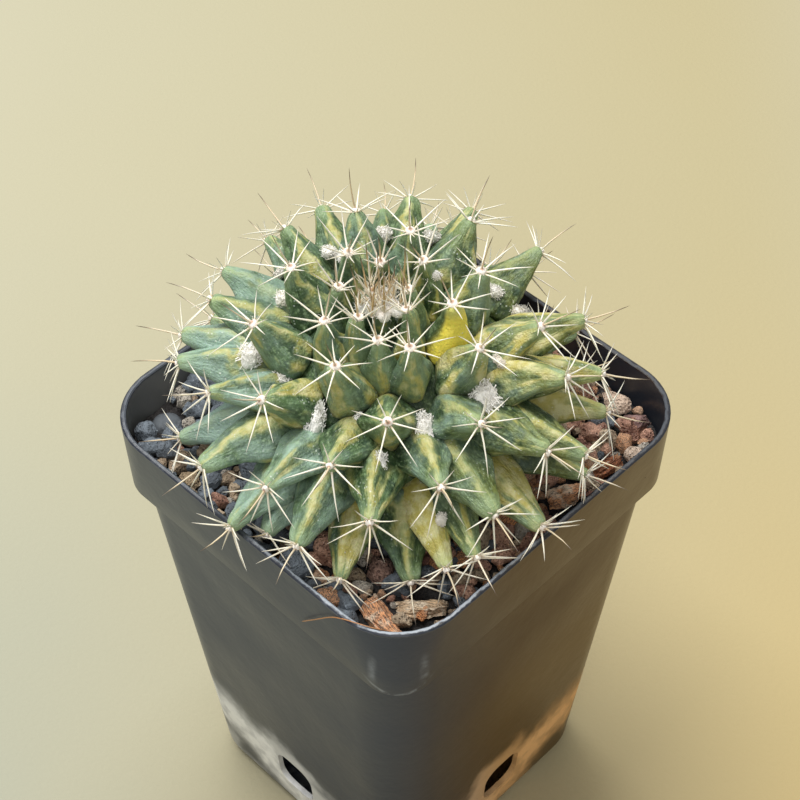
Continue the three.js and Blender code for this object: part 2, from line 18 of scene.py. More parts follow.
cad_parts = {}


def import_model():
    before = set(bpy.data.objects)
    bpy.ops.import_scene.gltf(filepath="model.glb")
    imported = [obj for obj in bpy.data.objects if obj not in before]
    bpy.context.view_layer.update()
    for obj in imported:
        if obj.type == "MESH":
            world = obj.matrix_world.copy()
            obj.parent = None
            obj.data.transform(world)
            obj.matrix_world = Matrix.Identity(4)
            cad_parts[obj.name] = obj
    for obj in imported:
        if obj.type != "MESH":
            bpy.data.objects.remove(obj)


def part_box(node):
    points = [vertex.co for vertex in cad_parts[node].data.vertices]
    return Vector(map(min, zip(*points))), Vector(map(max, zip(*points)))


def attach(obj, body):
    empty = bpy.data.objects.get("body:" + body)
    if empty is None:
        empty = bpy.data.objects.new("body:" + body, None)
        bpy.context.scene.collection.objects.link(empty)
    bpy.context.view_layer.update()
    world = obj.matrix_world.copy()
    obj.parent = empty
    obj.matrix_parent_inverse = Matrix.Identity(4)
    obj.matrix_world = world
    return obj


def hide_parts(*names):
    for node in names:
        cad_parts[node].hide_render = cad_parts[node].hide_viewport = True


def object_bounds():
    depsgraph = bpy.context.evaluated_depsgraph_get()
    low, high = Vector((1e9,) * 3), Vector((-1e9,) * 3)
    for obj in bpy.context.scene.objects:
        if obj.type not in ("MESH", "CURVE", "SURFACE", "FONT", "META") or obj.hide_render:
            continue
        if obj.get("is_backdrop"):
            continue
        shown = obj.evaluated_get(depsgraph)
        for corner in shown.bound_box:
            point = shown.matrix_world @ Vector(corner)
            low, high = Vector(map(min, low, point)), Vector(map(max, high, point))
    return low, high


LOG = logging.getLogger("potted_plant")
MM = 0.001
BODY = "root"
GOLDEN_TURN = 2.39996
FULL_TURN = 6.28
YOUNGEST = 5
NOISE_SEED = 1
ORIGIN = (0, 0, 0)
UP = np.array([0.0, 0.0, 1.0])
Array = np.ndarray
Triple = tuple[float, float, float]
Color = Triple
Span = tuple[float, float]
Piece = bpy.types.Object
Node = bpy.types.Node
Socket = bpy.types.NodeSocket


# Handling of meshes


def deselect_all() -> None:
    """Leave nothing selected and nothing active."""
    for piece in bpy.context.selected_objects:
        piece.select_set(False)
    bpy.context.view_layer.objects.active = None


def take(piece: Piece) -> None:
    """Select one piece alone and make it active.

    Args:
        piece: The piece to take.
    """
    deselect_all()
    piece.select_set(True)
    bpy.context.view_layer.objects.active = piece


@contextmanager
def editing(piece: Piece, whole: bool = True, edges: bool = False) -> Iterator[None]:
    """Open a piece in edit mode.

    Args:
        piece: The piece to edit.
        whole: Whether all of it is selected first.
        edges: Whether edges are what is selected, and not vertices.
    """
    take(piece)
    bpy.context.tool_settings.mesh_select_mode = (not edges, edges, False)
    bpy.ops.object.mode_set(mode="EDIT")
    if whole:
        bpy.ops.mesh.select_all(action="SELECT")
    yield
    bpy.ops.object.mode_set(mode="OBJECT")


def started(operator: Callable[..., object], **settings: object) -> Piece:
    """Start a piece from a primitive at the origin.

    Args:
        operator: What adds the primitive.
        settings: Its settings.

    Returns:
        The new piece.
    """
    deselect_all()
    operator(location=ORIGIN, **settings)
    return bpy.context.active_object


def named(piece: Piece, name: str) -> Piece:
    """Name a piece and its mesh."""
    piece.name = piece.data.name = name
    return piece


def pick(piece: Piece, test: Callable[[Vector], bool]) -> None:
    """Mark the vertices that pass a test as the selected ones, from object mode.

    Args:
        piece: The piece whose vertices are marked.
        test: What a vertex's place has to pass.
    """
    mesh = piece.data
    for polygon in mesh.polygons:
        polygon.select = False
    for edge in mesh.edges:
        edge.select = False
    for vertex in mesh.vertices:
        vertex.select = test(vertex.co)


def apply_modifier(piece: Piece, kind: str, **settings: object) -> None:
    """Add a modifier and apply it.

    Args:
        piece: The piece it works on.
        kind: The kind of modifier.
        settings: Its settings.
    """
    take(piece)
    modifier = piece.modifiers.new(kind.lower(), kind)
    for name, value in settings.items():
        setattr(modifier, name, value)
    bpy.ops.object.modifier_apply(modifier=modifier.name)


def points_of(piece: Piece) -> Array:
    """Read every vertex of a piece.

    Args:
        piece: The piece.

    Returns:
        Their places, one to a row.
    """
    found = np.zeros(len(piece.data.vertices) * 3)
    piece.data.vertices.foreach_get("co", found)
    return found.reshape(-1, 3)


def put_points(piece: Piece, points: Array) -> None:
    """Write a place for every vertex of a piece."""
    piece.data.vertices.foreach_set("co", np.ascontiguousarray(points, float).ravel())
    piece.data.update()


def copy_of(master: Piece) -> Piece:
    """Copy a piece with its own mesh.

    Args:
        master: What is copied.

    Returns:
        The copy.
    """
    made = master.copy()
    made.data = master.data.copy()
    bpy.context.scene.collection.objects.link(made)
    return made


def store(piece: Piece, name: str, values: Array) -> None:
    """Write an attribute of a mesh's vertices: a number, a vector or a colour, by its width.

    Args:
        piece: The piece whose mesh holds it.
        name: The attribute's name.
        values: One row to each vertex.
    """
    kinds = {1: ("FLOAT", "value"), 3: ("FLOAT_VECTOR", "vector"), 4: ("FLOAT_COLOR", "color")}
    kind, part = kinds[values.size // len(values)]
    held = piece.data.attributes.get(name) or piece.data.attributes.new(name, kind, "POINT")
    held.data.foreach_set(part, np.ascontiguousarray(values, np.float32).ravel())


def store_tone(piece: Piece, tone: Sequence[float]) -> None:
    """Give all of a copy one tone: three numbers that its finish reads."""
    row = np.array([*tone, 1.0])
    store(piece, "tone", np.tile(row, (len(piece.data.vertices), 1)))


def join(pieces: Sequence[Piece], name: str) -> Piece:
    """Join pieces into one named piece.

    Args:
        pieces: What is joined.
        name: The name of the result.

    Returns:
        The joined piece.
    """
    deselect_all()
    for piece in pieces:
        piece.select_set(True)
    bpy.context.view_layer.objects.active = pieces[0]
    if len(pieces) > 1:
        bpy.ops.object.join()
    return named(bpy.context.view_layer.objects.active, name)


def scrap(*pieces: Piece) -> None:
    """Remove masters that are no longer needed."""
    for piece in pieces:
        bpy.data.objects.remove(piece)


def shade(piece: Piece, degrees: float) -> None:
    """Shade a piece smooth up to an angle between its faces."""
    take(piece)
    bpy.ops.object.shade_smooth_by_angle(angle=math.radians(degrees))


def outward(piece: Piece) -> None:
    """Join doubled vertices of a closed mesh and turn its faces outward.

    Args:
        piece: The piece.
    """
    with editing(piece):
        bpy.ops.mesh.remove_doubles(threshold=1e-7)
        bpy.ops.mesh.normals_make_consistent(inside=False)


def report(piece: Piece, slot: str, *nodes: str) -> None:
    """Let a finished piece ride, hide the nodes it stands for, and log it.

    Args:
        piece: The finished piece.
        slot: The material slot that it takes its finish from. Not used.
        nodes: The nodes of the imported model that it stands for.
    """
    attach(piece, BODY)
    if nodes:
        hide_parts(*nodes)
    faces = sum(len(polygon.vertices) - 2 for polygon in piece.data.polygons)
    LOG.info("%s: %d triangles", piece.name, faces)


def drawn_out(sides: int, stations: Sequence[Triple]) -> Piece:
    """A closed finger drawn up +Z from a disc, by extruding and resizing it.

    Args:
        sides: How many sides it has.
        stations: Height, half width and half depth at each step, from the root.

    Returns:
        The finger.
    """
    height, width, depth = stations[0]
    circle = bpy.ops.mesh.primitive_circle_add
    finger = started(circle, vertices=sides, radius=1.0, fill_type="NGON")
    with editing(finger):
        bpy.ops.transform.resize(value=(width, depth, 1))
        bpy.ops.transform.translate(value=(0, 0, height))
        for high, wide, deep in stations[1:]:
            bpy.ops.mesh.extrude_region_move(
                TRANSFORM_OT_translate={"value": (0, 0, high - height)}
            )
            bpy.ops.transform.resize(value=(wide / width, deep / depth, 1))
            height, width, depth = high, wide, deep
        bpy.ops.mesh.select_all(action="SELECT")
        bpy.ops.mesh.normals_make_consistent(inside=False)
    return finger


def square_ring(half: float, corner: float, steps: int) -> Array:
    """Points of a square with rounded corners, in order round it.

    Args:
        half: Half its width.
        corner: The radius of its corners.
        steps: How many steps a corner is bent in.

    Returns:
        The x and y of each point, one to a row.
    """
    turn = np.repeat(np.arange(4), steps + 1) * math.pi / 2
    angle = turn + np.tile(np.arange(steps + 1), 4) / steps * math.pi / 2
    reach = (half - corner) * math.sqrt(2)
    middle = turn + math.pi / 4
    x = np.cos(middle) * reach + np.cos(angle) * corner
    y = np.sin(middle) * reach + np.sin(angle) * corner
    return np.stack([x, y], axis=1)


def square_reach(half: float, corner: float, angle: Array) -> Array:
    """How far a square with rounded corners reaches in each direction.

    Args:
        half: Half its width.
        corner: The radius of its corners.
        angle: The directions.

    Returns:
        One distance to each direction.
    """
    long = np.maximum(abs(np.cos(angle)), abs(np.sin(angle)))
    short = np.minimum(abs(np.cos(angle)), abs(np.sin(angle)))
    inner = half - corner
    middle = inner * (long + short)
    on_corner = middle + np.sqrt(np.maximum(middle**2 - 2 * inner**2 + corner**2, 0))
    return np.where(half * short / long <= inner, half / long, on_corner)


def frame_on(along: Array, hint: Array) -> Array:
    """A right-handed frame whose third column runs along a direction.

    Args:
        along: The direction.
        hint: Which way the first column leans.

    Returns:
        The frame, as three columns.
    """
    third = along / np.linalg.norm(along)
    first = hint - third * (hint @ third)
    first = first / max(np.linalg.norm(first), 1e-9)
    return np.stack([first, np.cross(third, first), third], axis=1)


def level_way(turn: float) -> Array:
    """The level direction at a turn about the upright axis."""
    return np.array([math.cos(turn), math.sin(turn), 0])


def smooth(value: Array | float, low: float, high: float) -> Array:
    """Rise from 0 at low to 1 at high, with level ends."""
    share = np.clip((np.asarray(value, float) - low) / (high - low), 0, 1)
    return share * share * (3 - 2 * share)


def roughened(points: Array, amount: float, scale: float, seed: float) -> Array:
    """Push points about by a soft noise that hangs on where they are and on NOISE_SEED.

    Args:
        points: The points.
        amount: How far they may move.
        scale: How quickly the noise changes over a millimetre.
        seed: Which part of the noise is used.

    Returns:
        The moved points.
    """
    shift = Vector((seed, seed * 0.7, -seed))
    moved = [noise.noise_vector(Vector(point) * scale + shift) for point in points]
    return points + np.array(moved) * amount


class Seeded:
    """Seeded random numbers between 0 and 1, the same ones that placed the solids' spines."""

    factor = 48271
    period = 2147483647

    def __init__(self, seed: int) -> None:
        """Start from a seed."""
        self.state = seed

    def next(self) -> float:
        """The next number."""
        self.state = (self.state * self.factor) % self.period
        return self.state / self.period

    def swing(self) -> float:
        """The next number, moved to lie evenly about 0."""
        return self.next() - 0.5

    def toss(self) -> Array:
        """A place in a cube of side 1 about the origin."""
        return np.array([self.swing(), self.swing(), self.swing()])


# Where things are


@dataclass(frozen=True)
class PotSizes:
    """The pot's driving sizes."""

    height: float = 96.0
    wall: float = 1.0
    floor: float = 1.4
    foot_half: float = 26.2
    foot_corner: float = 9.0
    foot_fillet: float = 3.0
    body_half: float = 32.4
    body_corner: float = 10.4
    band_half: float = 33.1
    band_corner: float = 6.4
    rim_half: float = 35.0
    rim_corner: float = 12.0
    band_height: float = 16.5
    soil_level: float = 88.8
    beside: float = 0.8
    over_lip: float = 0.6
    over_grit: float = 1.6

    def body_at(self, z: float) -> Span:
        """The outline of the body at a height.

        Args:
            z: The height.

        Returns:
            Its half width and its corner radius.
        """
        share = z / (self.height - self.band_height)
        half = self.foot_half + (self.body_half - self.foot_half) * share
        return half, self.foot_corner + (self.body_corner - self.foot_corner) * share

    def band_at(self, z: float) -> Span:
        """The outline of the band at a height.

        Args:
            z: The height.

        Returns:
            Its half width and its corner radius.
        """
        share = (z - self.height + self.band_height) / self.band_height
        half = self.band_half + (self.rim_half - self.band_half) * share
        return half, self.band_corner + (self.rim_corner - self.band_corner) * share

    def lowest_over(self, x: float, y: float) -> float:
        """The height that a spine keeps over what lies under it.

        Args:
            x: How far right it is.
            y: How far back it is.

        Returns:
            The height.
        """
        reach = max(abs(x), abs(y))
        diagonal = (abs(x) + abs(y)) / math.sqrt(2)
        corner = self.rim_half * math.sqrt(2) - self.rim_corner * (math.sqrt(2) - 1)
        outside = max(reach - self.rim_half, diagonal - corner)
        if outside > self.beside:
            return 0.0
        if outside > -self.wall - self.beside:
            return self.height + self.over_lip
        return self.soil_level + self.over_grit


@dataclass(frozen=True)
class Tubercle:
    """One tubercle: a bent line from its root to its tip, its side direction and its growth."""

    index: int
    growth: float
    lean: float
    root: Array
    bend: Array
    tip: Array
    side: Array

    @property
    def reach(self) -> float:
        """The straight distance from root to tip."""
        return float(np.linalg.norm(self.tip - self.root))

    def stations(self, share: Array) -> tuple[Array, Array, Array]:
        """Follow the line.

        Args:
            share: How far along, from 0 at the root to 1 at the tip, and a little past both.

        Returns:
            The centre, the direction along and the upper side, one to a row.
        """
        held = np.clip(share, 0, 1)[:, None]
        centre = (
            (1 - held) ** 2 * self.root
            + 2 * held * (1 - held) * self.bend
            + held**2 * self.tip
        )
        late = np.maximum(held, 0.01)
        along = (1 - late) * (self.bend - self.root) + late * (self.tip - self.bend)
        along = along / np.linalg.norm(along, axis=1)[:, None]
        centre = centre + along * (share[:, None] - held) * self.reach
        upper = np.cross(along, self.side)
        upper = upper / np.linalg.norm(upper, axis=1)[:, None]
        return centre, along, upper

    def station(self, share: float) -> tuple[Array, Array, Array]:
        """The centre, the direction along and the upper side at one place on the line."""
        centre, along, upper = self.stations(np.array([share]))
        return centre[0], along[0], upper[0]


def crown_middle(tubercles: Sequence[Tubercle]) -> Array:
    """The middle of the youngest tubercles' tips."""
    return sum(tubercle.tip for tubercle in tubercles[:YOUNGEST]) / YOUNGEST


@dataclass(frozen=True)
class Spiral:
    """The rule that places the tubercles: a spiral over a low dome that leans a little."""

    pot: PotSizes
    count: int = 79
    left_out: tuple[int, ...] = (38, 53, 61, 66, 69, 70, 75, 78)
    divergence: float = 137.41
    first_turn: float = 322.7
    scale: float = 0.0641
    power: float = 0.781
    centre: Triple = (-1.5, -0.1, 101.2)
    lean_x: float = 5.4
    lean_y: float = 1.2
    radius: float = 36.1
    rise: float = 24.8
    dome_power: float = 1.62
    dip: float = 5.0
    dip_width: float = 0.17
    core_radius: float = 21.5
    core_rise: float = 14.0
    young_lean: float = 36.0
    root_lean: float = 1.22
    root_lag: float = 0.148
    root_lift: float = 1.3
    tip_inside: float = 2.4
    tip_over: float = 2.0
    tip_under: float = 0.5
    strays: dict[int, tuple[float, float]] = field(
        default_factory=lambda: {
            2: (-8, 3), 3: (16, 5), 6: (4, -2), 8: (10, 1), 9: (2, -3), 11: (9, -4),
            13: (0, -4), 16: (4, -4), 17: (-1, 6), 18: (2, -2), 20: (4, 7), 22: (-8, 9),
            23: (-4, 3), 25: (-1, 15), 27: (-5, 7), 28: (4, 10), 30: (-6, 8), 31: (3, 3),
            33: (1, 14), 36: (-5, 2), 37: (2, 1), 41: (3, 36), 42: (-1, -3), 43: (-5, 12),
            46: (1, 24), 47: (-2, -3), 48: (9, -9), 49: (-1, 32), 51: (2, 24), 52: (-4, -3),
            54: (1, 26), 55: (3, 8), 56: (7, 21), 57: (7, 27), 59: (0, -3), 60: (-3, 8),
            62: (-3, 25), 63: (-4, 10), 64: (2, 15), 65: (6, 7), 67: (0, -2), 68: (-3, -11),
            71: (-8, -4), 72: (0, 1), 73: (5, 0),
        }
    )

    @property
    def turned(self) -> Array:
        """The dome's lean.

        Returns:
            The lean as a matrix.
        """
        about_x = Matrix.Rotation(math.radians(self.lean_x), 3, "X")
        about_y = Matrix.Rotation(math.radians(self.lean_y), 3, "Y")
        return np.array(about_x @ about_y)

    def on_dome(
        self, lean: float, turn: float, radius: float, rise: float, power: float, dip: float
    ) -> Array:
        """A point of a dome about the plant's middle.

        Args:
            lean: How far it leans from upright, in radians.
            turn: Its turn about the axis, in radians.
            radius: The dome's radius.
            rise: The dome's height.
            power: How square the dome is.
            dip: How deep its crown is.

        Returns:
            The point.
        """
        level, upright = max(math.sin(lean), 0.0), math.cos(lean)
        out = radius * level ** (2 / power)
        high = rise * math.copysign(abs(upright) ** (2 / power), upright)
        high -= dip * math.exp(-((lean / self.dip_width) ** 2))
        point = np.array([out * math.cos(turn), out * math.sin(turn), high])
        return self.turned @ point + np.array(self.centre)

    def clear_tip(self, tip: Array) -> Array:
        """Keep a tip off the pot: over its lip, or else inside its wall.

        Args:
            tip: The tip.

        Returns:
            The tip, moved where it has to be.
        """
        reach, over = max(abs(tip[0]), abs(tip[1])), self.pot.height + self.tip_over
        held = self.pot.rim_half - self.pot.wall - self.tip_inside
        if reach < held or tip[2] > over:
            return tip
        if tip[2] > self.pot.height - self.tip_under:
            return np.array([tip[0], tip[1], over])
        return tip * np.array([held / reach, held / reach, 1])

    def tubercle(self, index: int) -> Tubercle:
        """Place one tubercle.

        Args:
            index: Its number on the spiral.

        Returns:
            The tubercle.
        """
        extra_turn, extra_lean = self.strays.get(index, (0, 0))
        turn = math.radians(self.first_turn - self.divergence * index + extra_turn)
        lean = self.scale * (index + 0.5) ** self.power + math.radians(extra_lean)
        growth = float(smooth(lean, 0, math.radians(self.young_lean)))
        tip = self.on_dome(lean, turn, self.radius, self.rise, self.dome_power, self.dip)
        tip = self.clear_tip(tip)
        low = lean * (self.root_lean - self.root_lag * lean)
        root = self.on_dome(low, turn, self.core_radius, self.core_rise, 2, 0)
        normal = level_way(turn) * math.sin(low) + UP * (self.root_lift * math.cos(low))
        normal = self.turned @ normal
        normal = normal / np.linalg.norm(normal)
        bend = root + normal * np.linalg.norm(tip - root) * 0.5
        side = self.turned @ np.array([-math.sin(turn), math.cos(turn), 0])
        return Tubercle(index, growth, lean, root, bend, tip, side)

    def all(self) -> list[Tubercle]:
        """Every tubercle, from the crown outward."""
        return [self.tubercle(index) for index in range(self.count) if index not in self.left_out]


# Finishes


class Value:
    """What changes over a surface: a number, a colour or a place. Numbers are reckoned with."""

    def __init__(self, graph: "Graph", socket: Socket) -> None:
        """Hold a socket of a graph."""
        self.graph = graph
        self.socket = socket

    def __add__(self, other: "Value | float") -> "Value":
        """The sum."""
        return self.graph.math("ADD", self, other)

    def __radd__(self, other: float) -> "Value":
        """The sum, with a plain number first."""
        return self.graph.math("ADD", other, self)

    def __sub__(self, other: "Value | float") -> "Value":
        """What is left."""
        return self.graph.math("SUBTRACT", self, other)

    def __rsub__(self, other: float) -> "Value":
        """What is left of a plain number."""
        return self.graph.math("SUBTRACT", other, self)

    def __mul__(self, other: "Value | float") -> "Value":
        """The product."""
        return self.graph.math("MULTIPLY", self, other)

    def __truediv__(self, other: "Value | float") -> "Value":
        """The quotient."""
        return self.graph.math("DIVIDE", self, other)

    def __abs__(self) -> "Value":
        """The size without its sign."""
        return self.graph.math("ABSOLUTE", self)

    def step(self, low: "Number", high: "Number") -> "Value":
        """Rise smoothly from 0 to 1.

        Args:
            low: The number at which it leaves 0.
            high: The number at which it reaches 1.

        Returns:
            The risen value.
        """
        ends = {"Value": self, "From Min": low, "From Max": high}
        return self.graph.value(
            "ShaderNodeMapRange", "Result", ends, interpolation_type="SMOOTHSTEP"
        )

    def fade(self, low: "Number", high: "Number") -> "Value":
        """Fall smoothly from 1 at low to 0 at high."""
        return 1.0 - self.step(low, high)

    def noise(self, scale: "Number", detail: float = 3.0) -> "Value":
        """Soft noise between 0 and 1 at a place."""
        sources = {"Vector": self, "Scale": scale, "Detail": detail}
        return self.graph.value("ShaderNodeTexNoise", "Fac", sources)

    def cells(self, scale: "Number") -> "Value":
        """Distance from a place to the nearest of scattered points."""
        sources = {"Vector": self, "Scale": scale}
        return self.graph.value("ShaderNodeTexVoronoi", "Distance", sources)


Number = Value | float


class Graph:
    """A hand for wiring the nodes of one tree. A plain number or colour may stand for a value."""

    def __init__(self, tree: bpy.types.NodeTree) -> None:
        """Start on a tree."""
        self.tree = tree

    def node(self, kind: str, **settings: object) -> Node:
        """Add a node and set its options.

        Args:
            kind: The node's type.
            settings: Its options.

        Returns:
            The node.
        """
        made = self.tree.nodes.new(kind)
        for name, value in settings.items():
            setattr(made, name, value)
        return made

    def feed(self, target: Socket, source: object) -> None:
        """Link a socket to a value, or set it.

        Args:
            target: The socket that is fed.
            source: A value, or a plain number or colour.
        """
        if isinstance(source, Value):
            self.tree.links.new(source.socket, target)
        elif target.type == "RGBA":
            target.default_value = (*source, 1.0)
        else:
            target.default_value = source

    def fill(self, node: Node, sources: dict[str, object]) -> None:
        """Feed several inputs of a node, each by its name."""
        for name, source in sources.items():
            self.feed(node.inputs[name], source)

    def value(
        self, kind: str, result: str, sources: dict[str, object], **settings: object
    ) -> Value:
        """Add a node, feed it and take one of its results.

        Args:
            kind: The node's type.
            result: The name of the result.
            sources: What its inputs are fed with.
            settings: Its options.

        Returns:
            The result.
        """
        made = self.node(kind, **settings)
        self.fill(made, sources)
        return Value(self, made.outputs[result])

    def math(self, operation: str, first: Number, second: Number = 0.0) -> Value:
        """Reckon with one or two numbers.

        Args:
            operation: What is reckoned.
            first: The first number.
            second: The second number, where it has one.

        Returns:
            The result.
        """
        made = self.node("ShaderNodeMath", operation=operation)
        self.feed(made.inputs[0], first)
        self.feed(made.inputs[1], second)
        return Value(self, made.outputs[0])

    def highest(self, first: Number, second: Number) -> Value:
        """The higher of two numbers."""
        return self.math("MAXIMUM", first, second)

    def length(self, first: Value, second: Value) -> Value:
        """The length of a level way, given its two parts."""
        return self.math("SQRT", first * first + second * second)

    def mix(self, share: Number, first: object, second: object) -> Value:
        """Mix two colours."""
        sources = {"Factor": share, "A": first, "B": second}
        return self.value("ShaderNodeMix", "Result", sources, data_type="RGBA")

    def vector(self, x: Number, y: Number, z: Number) -> Value:
        """Put three numbers together."""
        return self.value("ShaderNodeCombineXYZ", "Vector", {"X": x, "Y": y, "Z": z})

    def parts(self, source: Value) -> list[Value]:
        """Take three numbers apart.

        Args:
            source: A place or a colour.

        Returns:
            The three.
        """
        made = self.node("ShaderNodeSeparateXYZ")
        self.feed(made.inputs[0], source)
        return [Value(self, part) for part in made.outputs]

    def attribute(self, name: str) -> list[Value]:
        """The three numbers of an attribute of the mesh."""
        return self.parts(self.value("ShaderNodeAttribute", "Vector", {}, attribute_name=name))

    def bump(self, height: Value, distance: float, strength: float) -> Value:
        """A normal raised by a height, over a distance in metres."""
        sources = {"Height": height, "Distance": distance, "Strength": strength}
        return self.value("ShaderNodeBump", "Normal", sources)

    def effect(self, name: str, **sources: object) -> list[Value]:
        """Place one of the shared effects.

        Args:
            name: The effect's name.
            sources: Its own values, by their names in small letters.

        Returns:
            Its results.
        """
        made = self.node("ShaderNodeGroup", node_tree=bpy.data.node_groups[name])
        self.fill(made, {key.capitalize(): source for key, source in sources.items()})
        return [Value(self, result) for result in made.outputs]


class Effects:
    """Effects that several finishes share, each built once as a node group."""

    def open(
        self, name: str, numbers: Sequence[str], results: Sequence[str]
    ) -> tuple[Graph, list[Value], Node]:
        """Start a group that takes a place and some numbers.

        Args:
            name: The group's name.
            numbers: The names of its number inputs.
            results: The names of its outputs.

        Returns:
            Its graph, its inputs and its output node.
        """
        tree = bpy.data.node_groups.new(name, "ShaderNodeTree")
        tree.interface.new_socket("Where", in_out="INPUT", socket_type="NodeSocketVector")
        for way, names in (("INPUT", numbers), ("OUTPUT", results)):
            for each in names:
                tree.interface.new_socket(each, in_out=way, socket_type="NodeSocketFloat")
        graph = Graph(tree)
        given = graph.node("NodeGroupInput").outputs
        inputs = [Value(graph, given[each]) for each in ("Where", *numbers)]
        return graph, inputs, graph.node("NodeGroupOutput")

    def mottle(self) -> None:
        """Soft-edged patches: more of them as the share rises."""
        numbers = ["Scale", "Share", "Edge"]
        graph, (where, scale, share, edge), out = self.open("mottle", numbers, ["Mask"])
        grain = where.noise(scale, 4.0)
        centre = 1.0 - share
        graph.fill(out, {"Mask": grain.step(centre - edge, centre + edge)})

    def specks(self) -> None:
        """Scattered small dots, gathered in drifts."""
        graph, (where, scale, size), out = self.open("specks", ["Scale", "Size"], ["Mask"])
        dot = where.cells(scale).fade(size, size * 1.6)
        drift = where.noise(scale / 6.0, 2.0).step(0.5, 0.66)
        graph.fill(out, {"Mask": dot * drift})

    def pits(self) -> None:
        """Rough stone: a crumbly height, and a mask of its low places that finishes darken as
        painted shade.
        """
        graph, (where, scale), out = self.open("pits", ["Scale"], ["Height", "Hollow"])
        coarse = where.noise(scale, 6.0)
        hole = where.cells(scale * 1.7).step(0.05, 0.42)
        height = hole * 0.5 + coarse
        graph.fill(out, {"Height": height, "Hollow": height.fade(0.62, 0.98)})

    def build(self) -> None:
        """Build every effect."""
        self.mottle()
        self.specks()
        self.pits()


@dataclass(frozen=True)
class Finish:
    """What every finish has: a name, and a wire method that says what feeds its shader."""

    name: str

    def wire(self, graph: Graph, where: Value) -> dict[str, object]:
        """Wire the finish. Each finish says how.

        Args:
            graph: The material's graph.
            where: The place on the piece, in metres.

        Returns:
            What each input of the shader is fed with.
        """
        raise NotImplementedError

    def material(self) -> bpy.types.Material:
        """The finish as a material, built the first time that it is asked for.

        Returns:
            The material.
        """
        name = f"look_{self.name}"
        found = bpy.data.materials.get(name)
        if found:
            return found
        made = bpy.data.materials.new(name)
        made.use_nodes = True
        graph = Graph(made.node_tree)
        looks = self.wire(graph, graph.value("ShaderNodeTexCoord", "Object", {}))
        graph.fill(made.node_tree.nodes["Principled BSDF"], looks)
        return made

    def dress(self, piece: Piece) -> Piece:
        """Give a piece this finish alone.

        Args:
            piece: The piece.

        Returns:
            The same piece.
        """
        piece.data.materials.clear()
        piece.data.materials.append(self.material())
        return piece


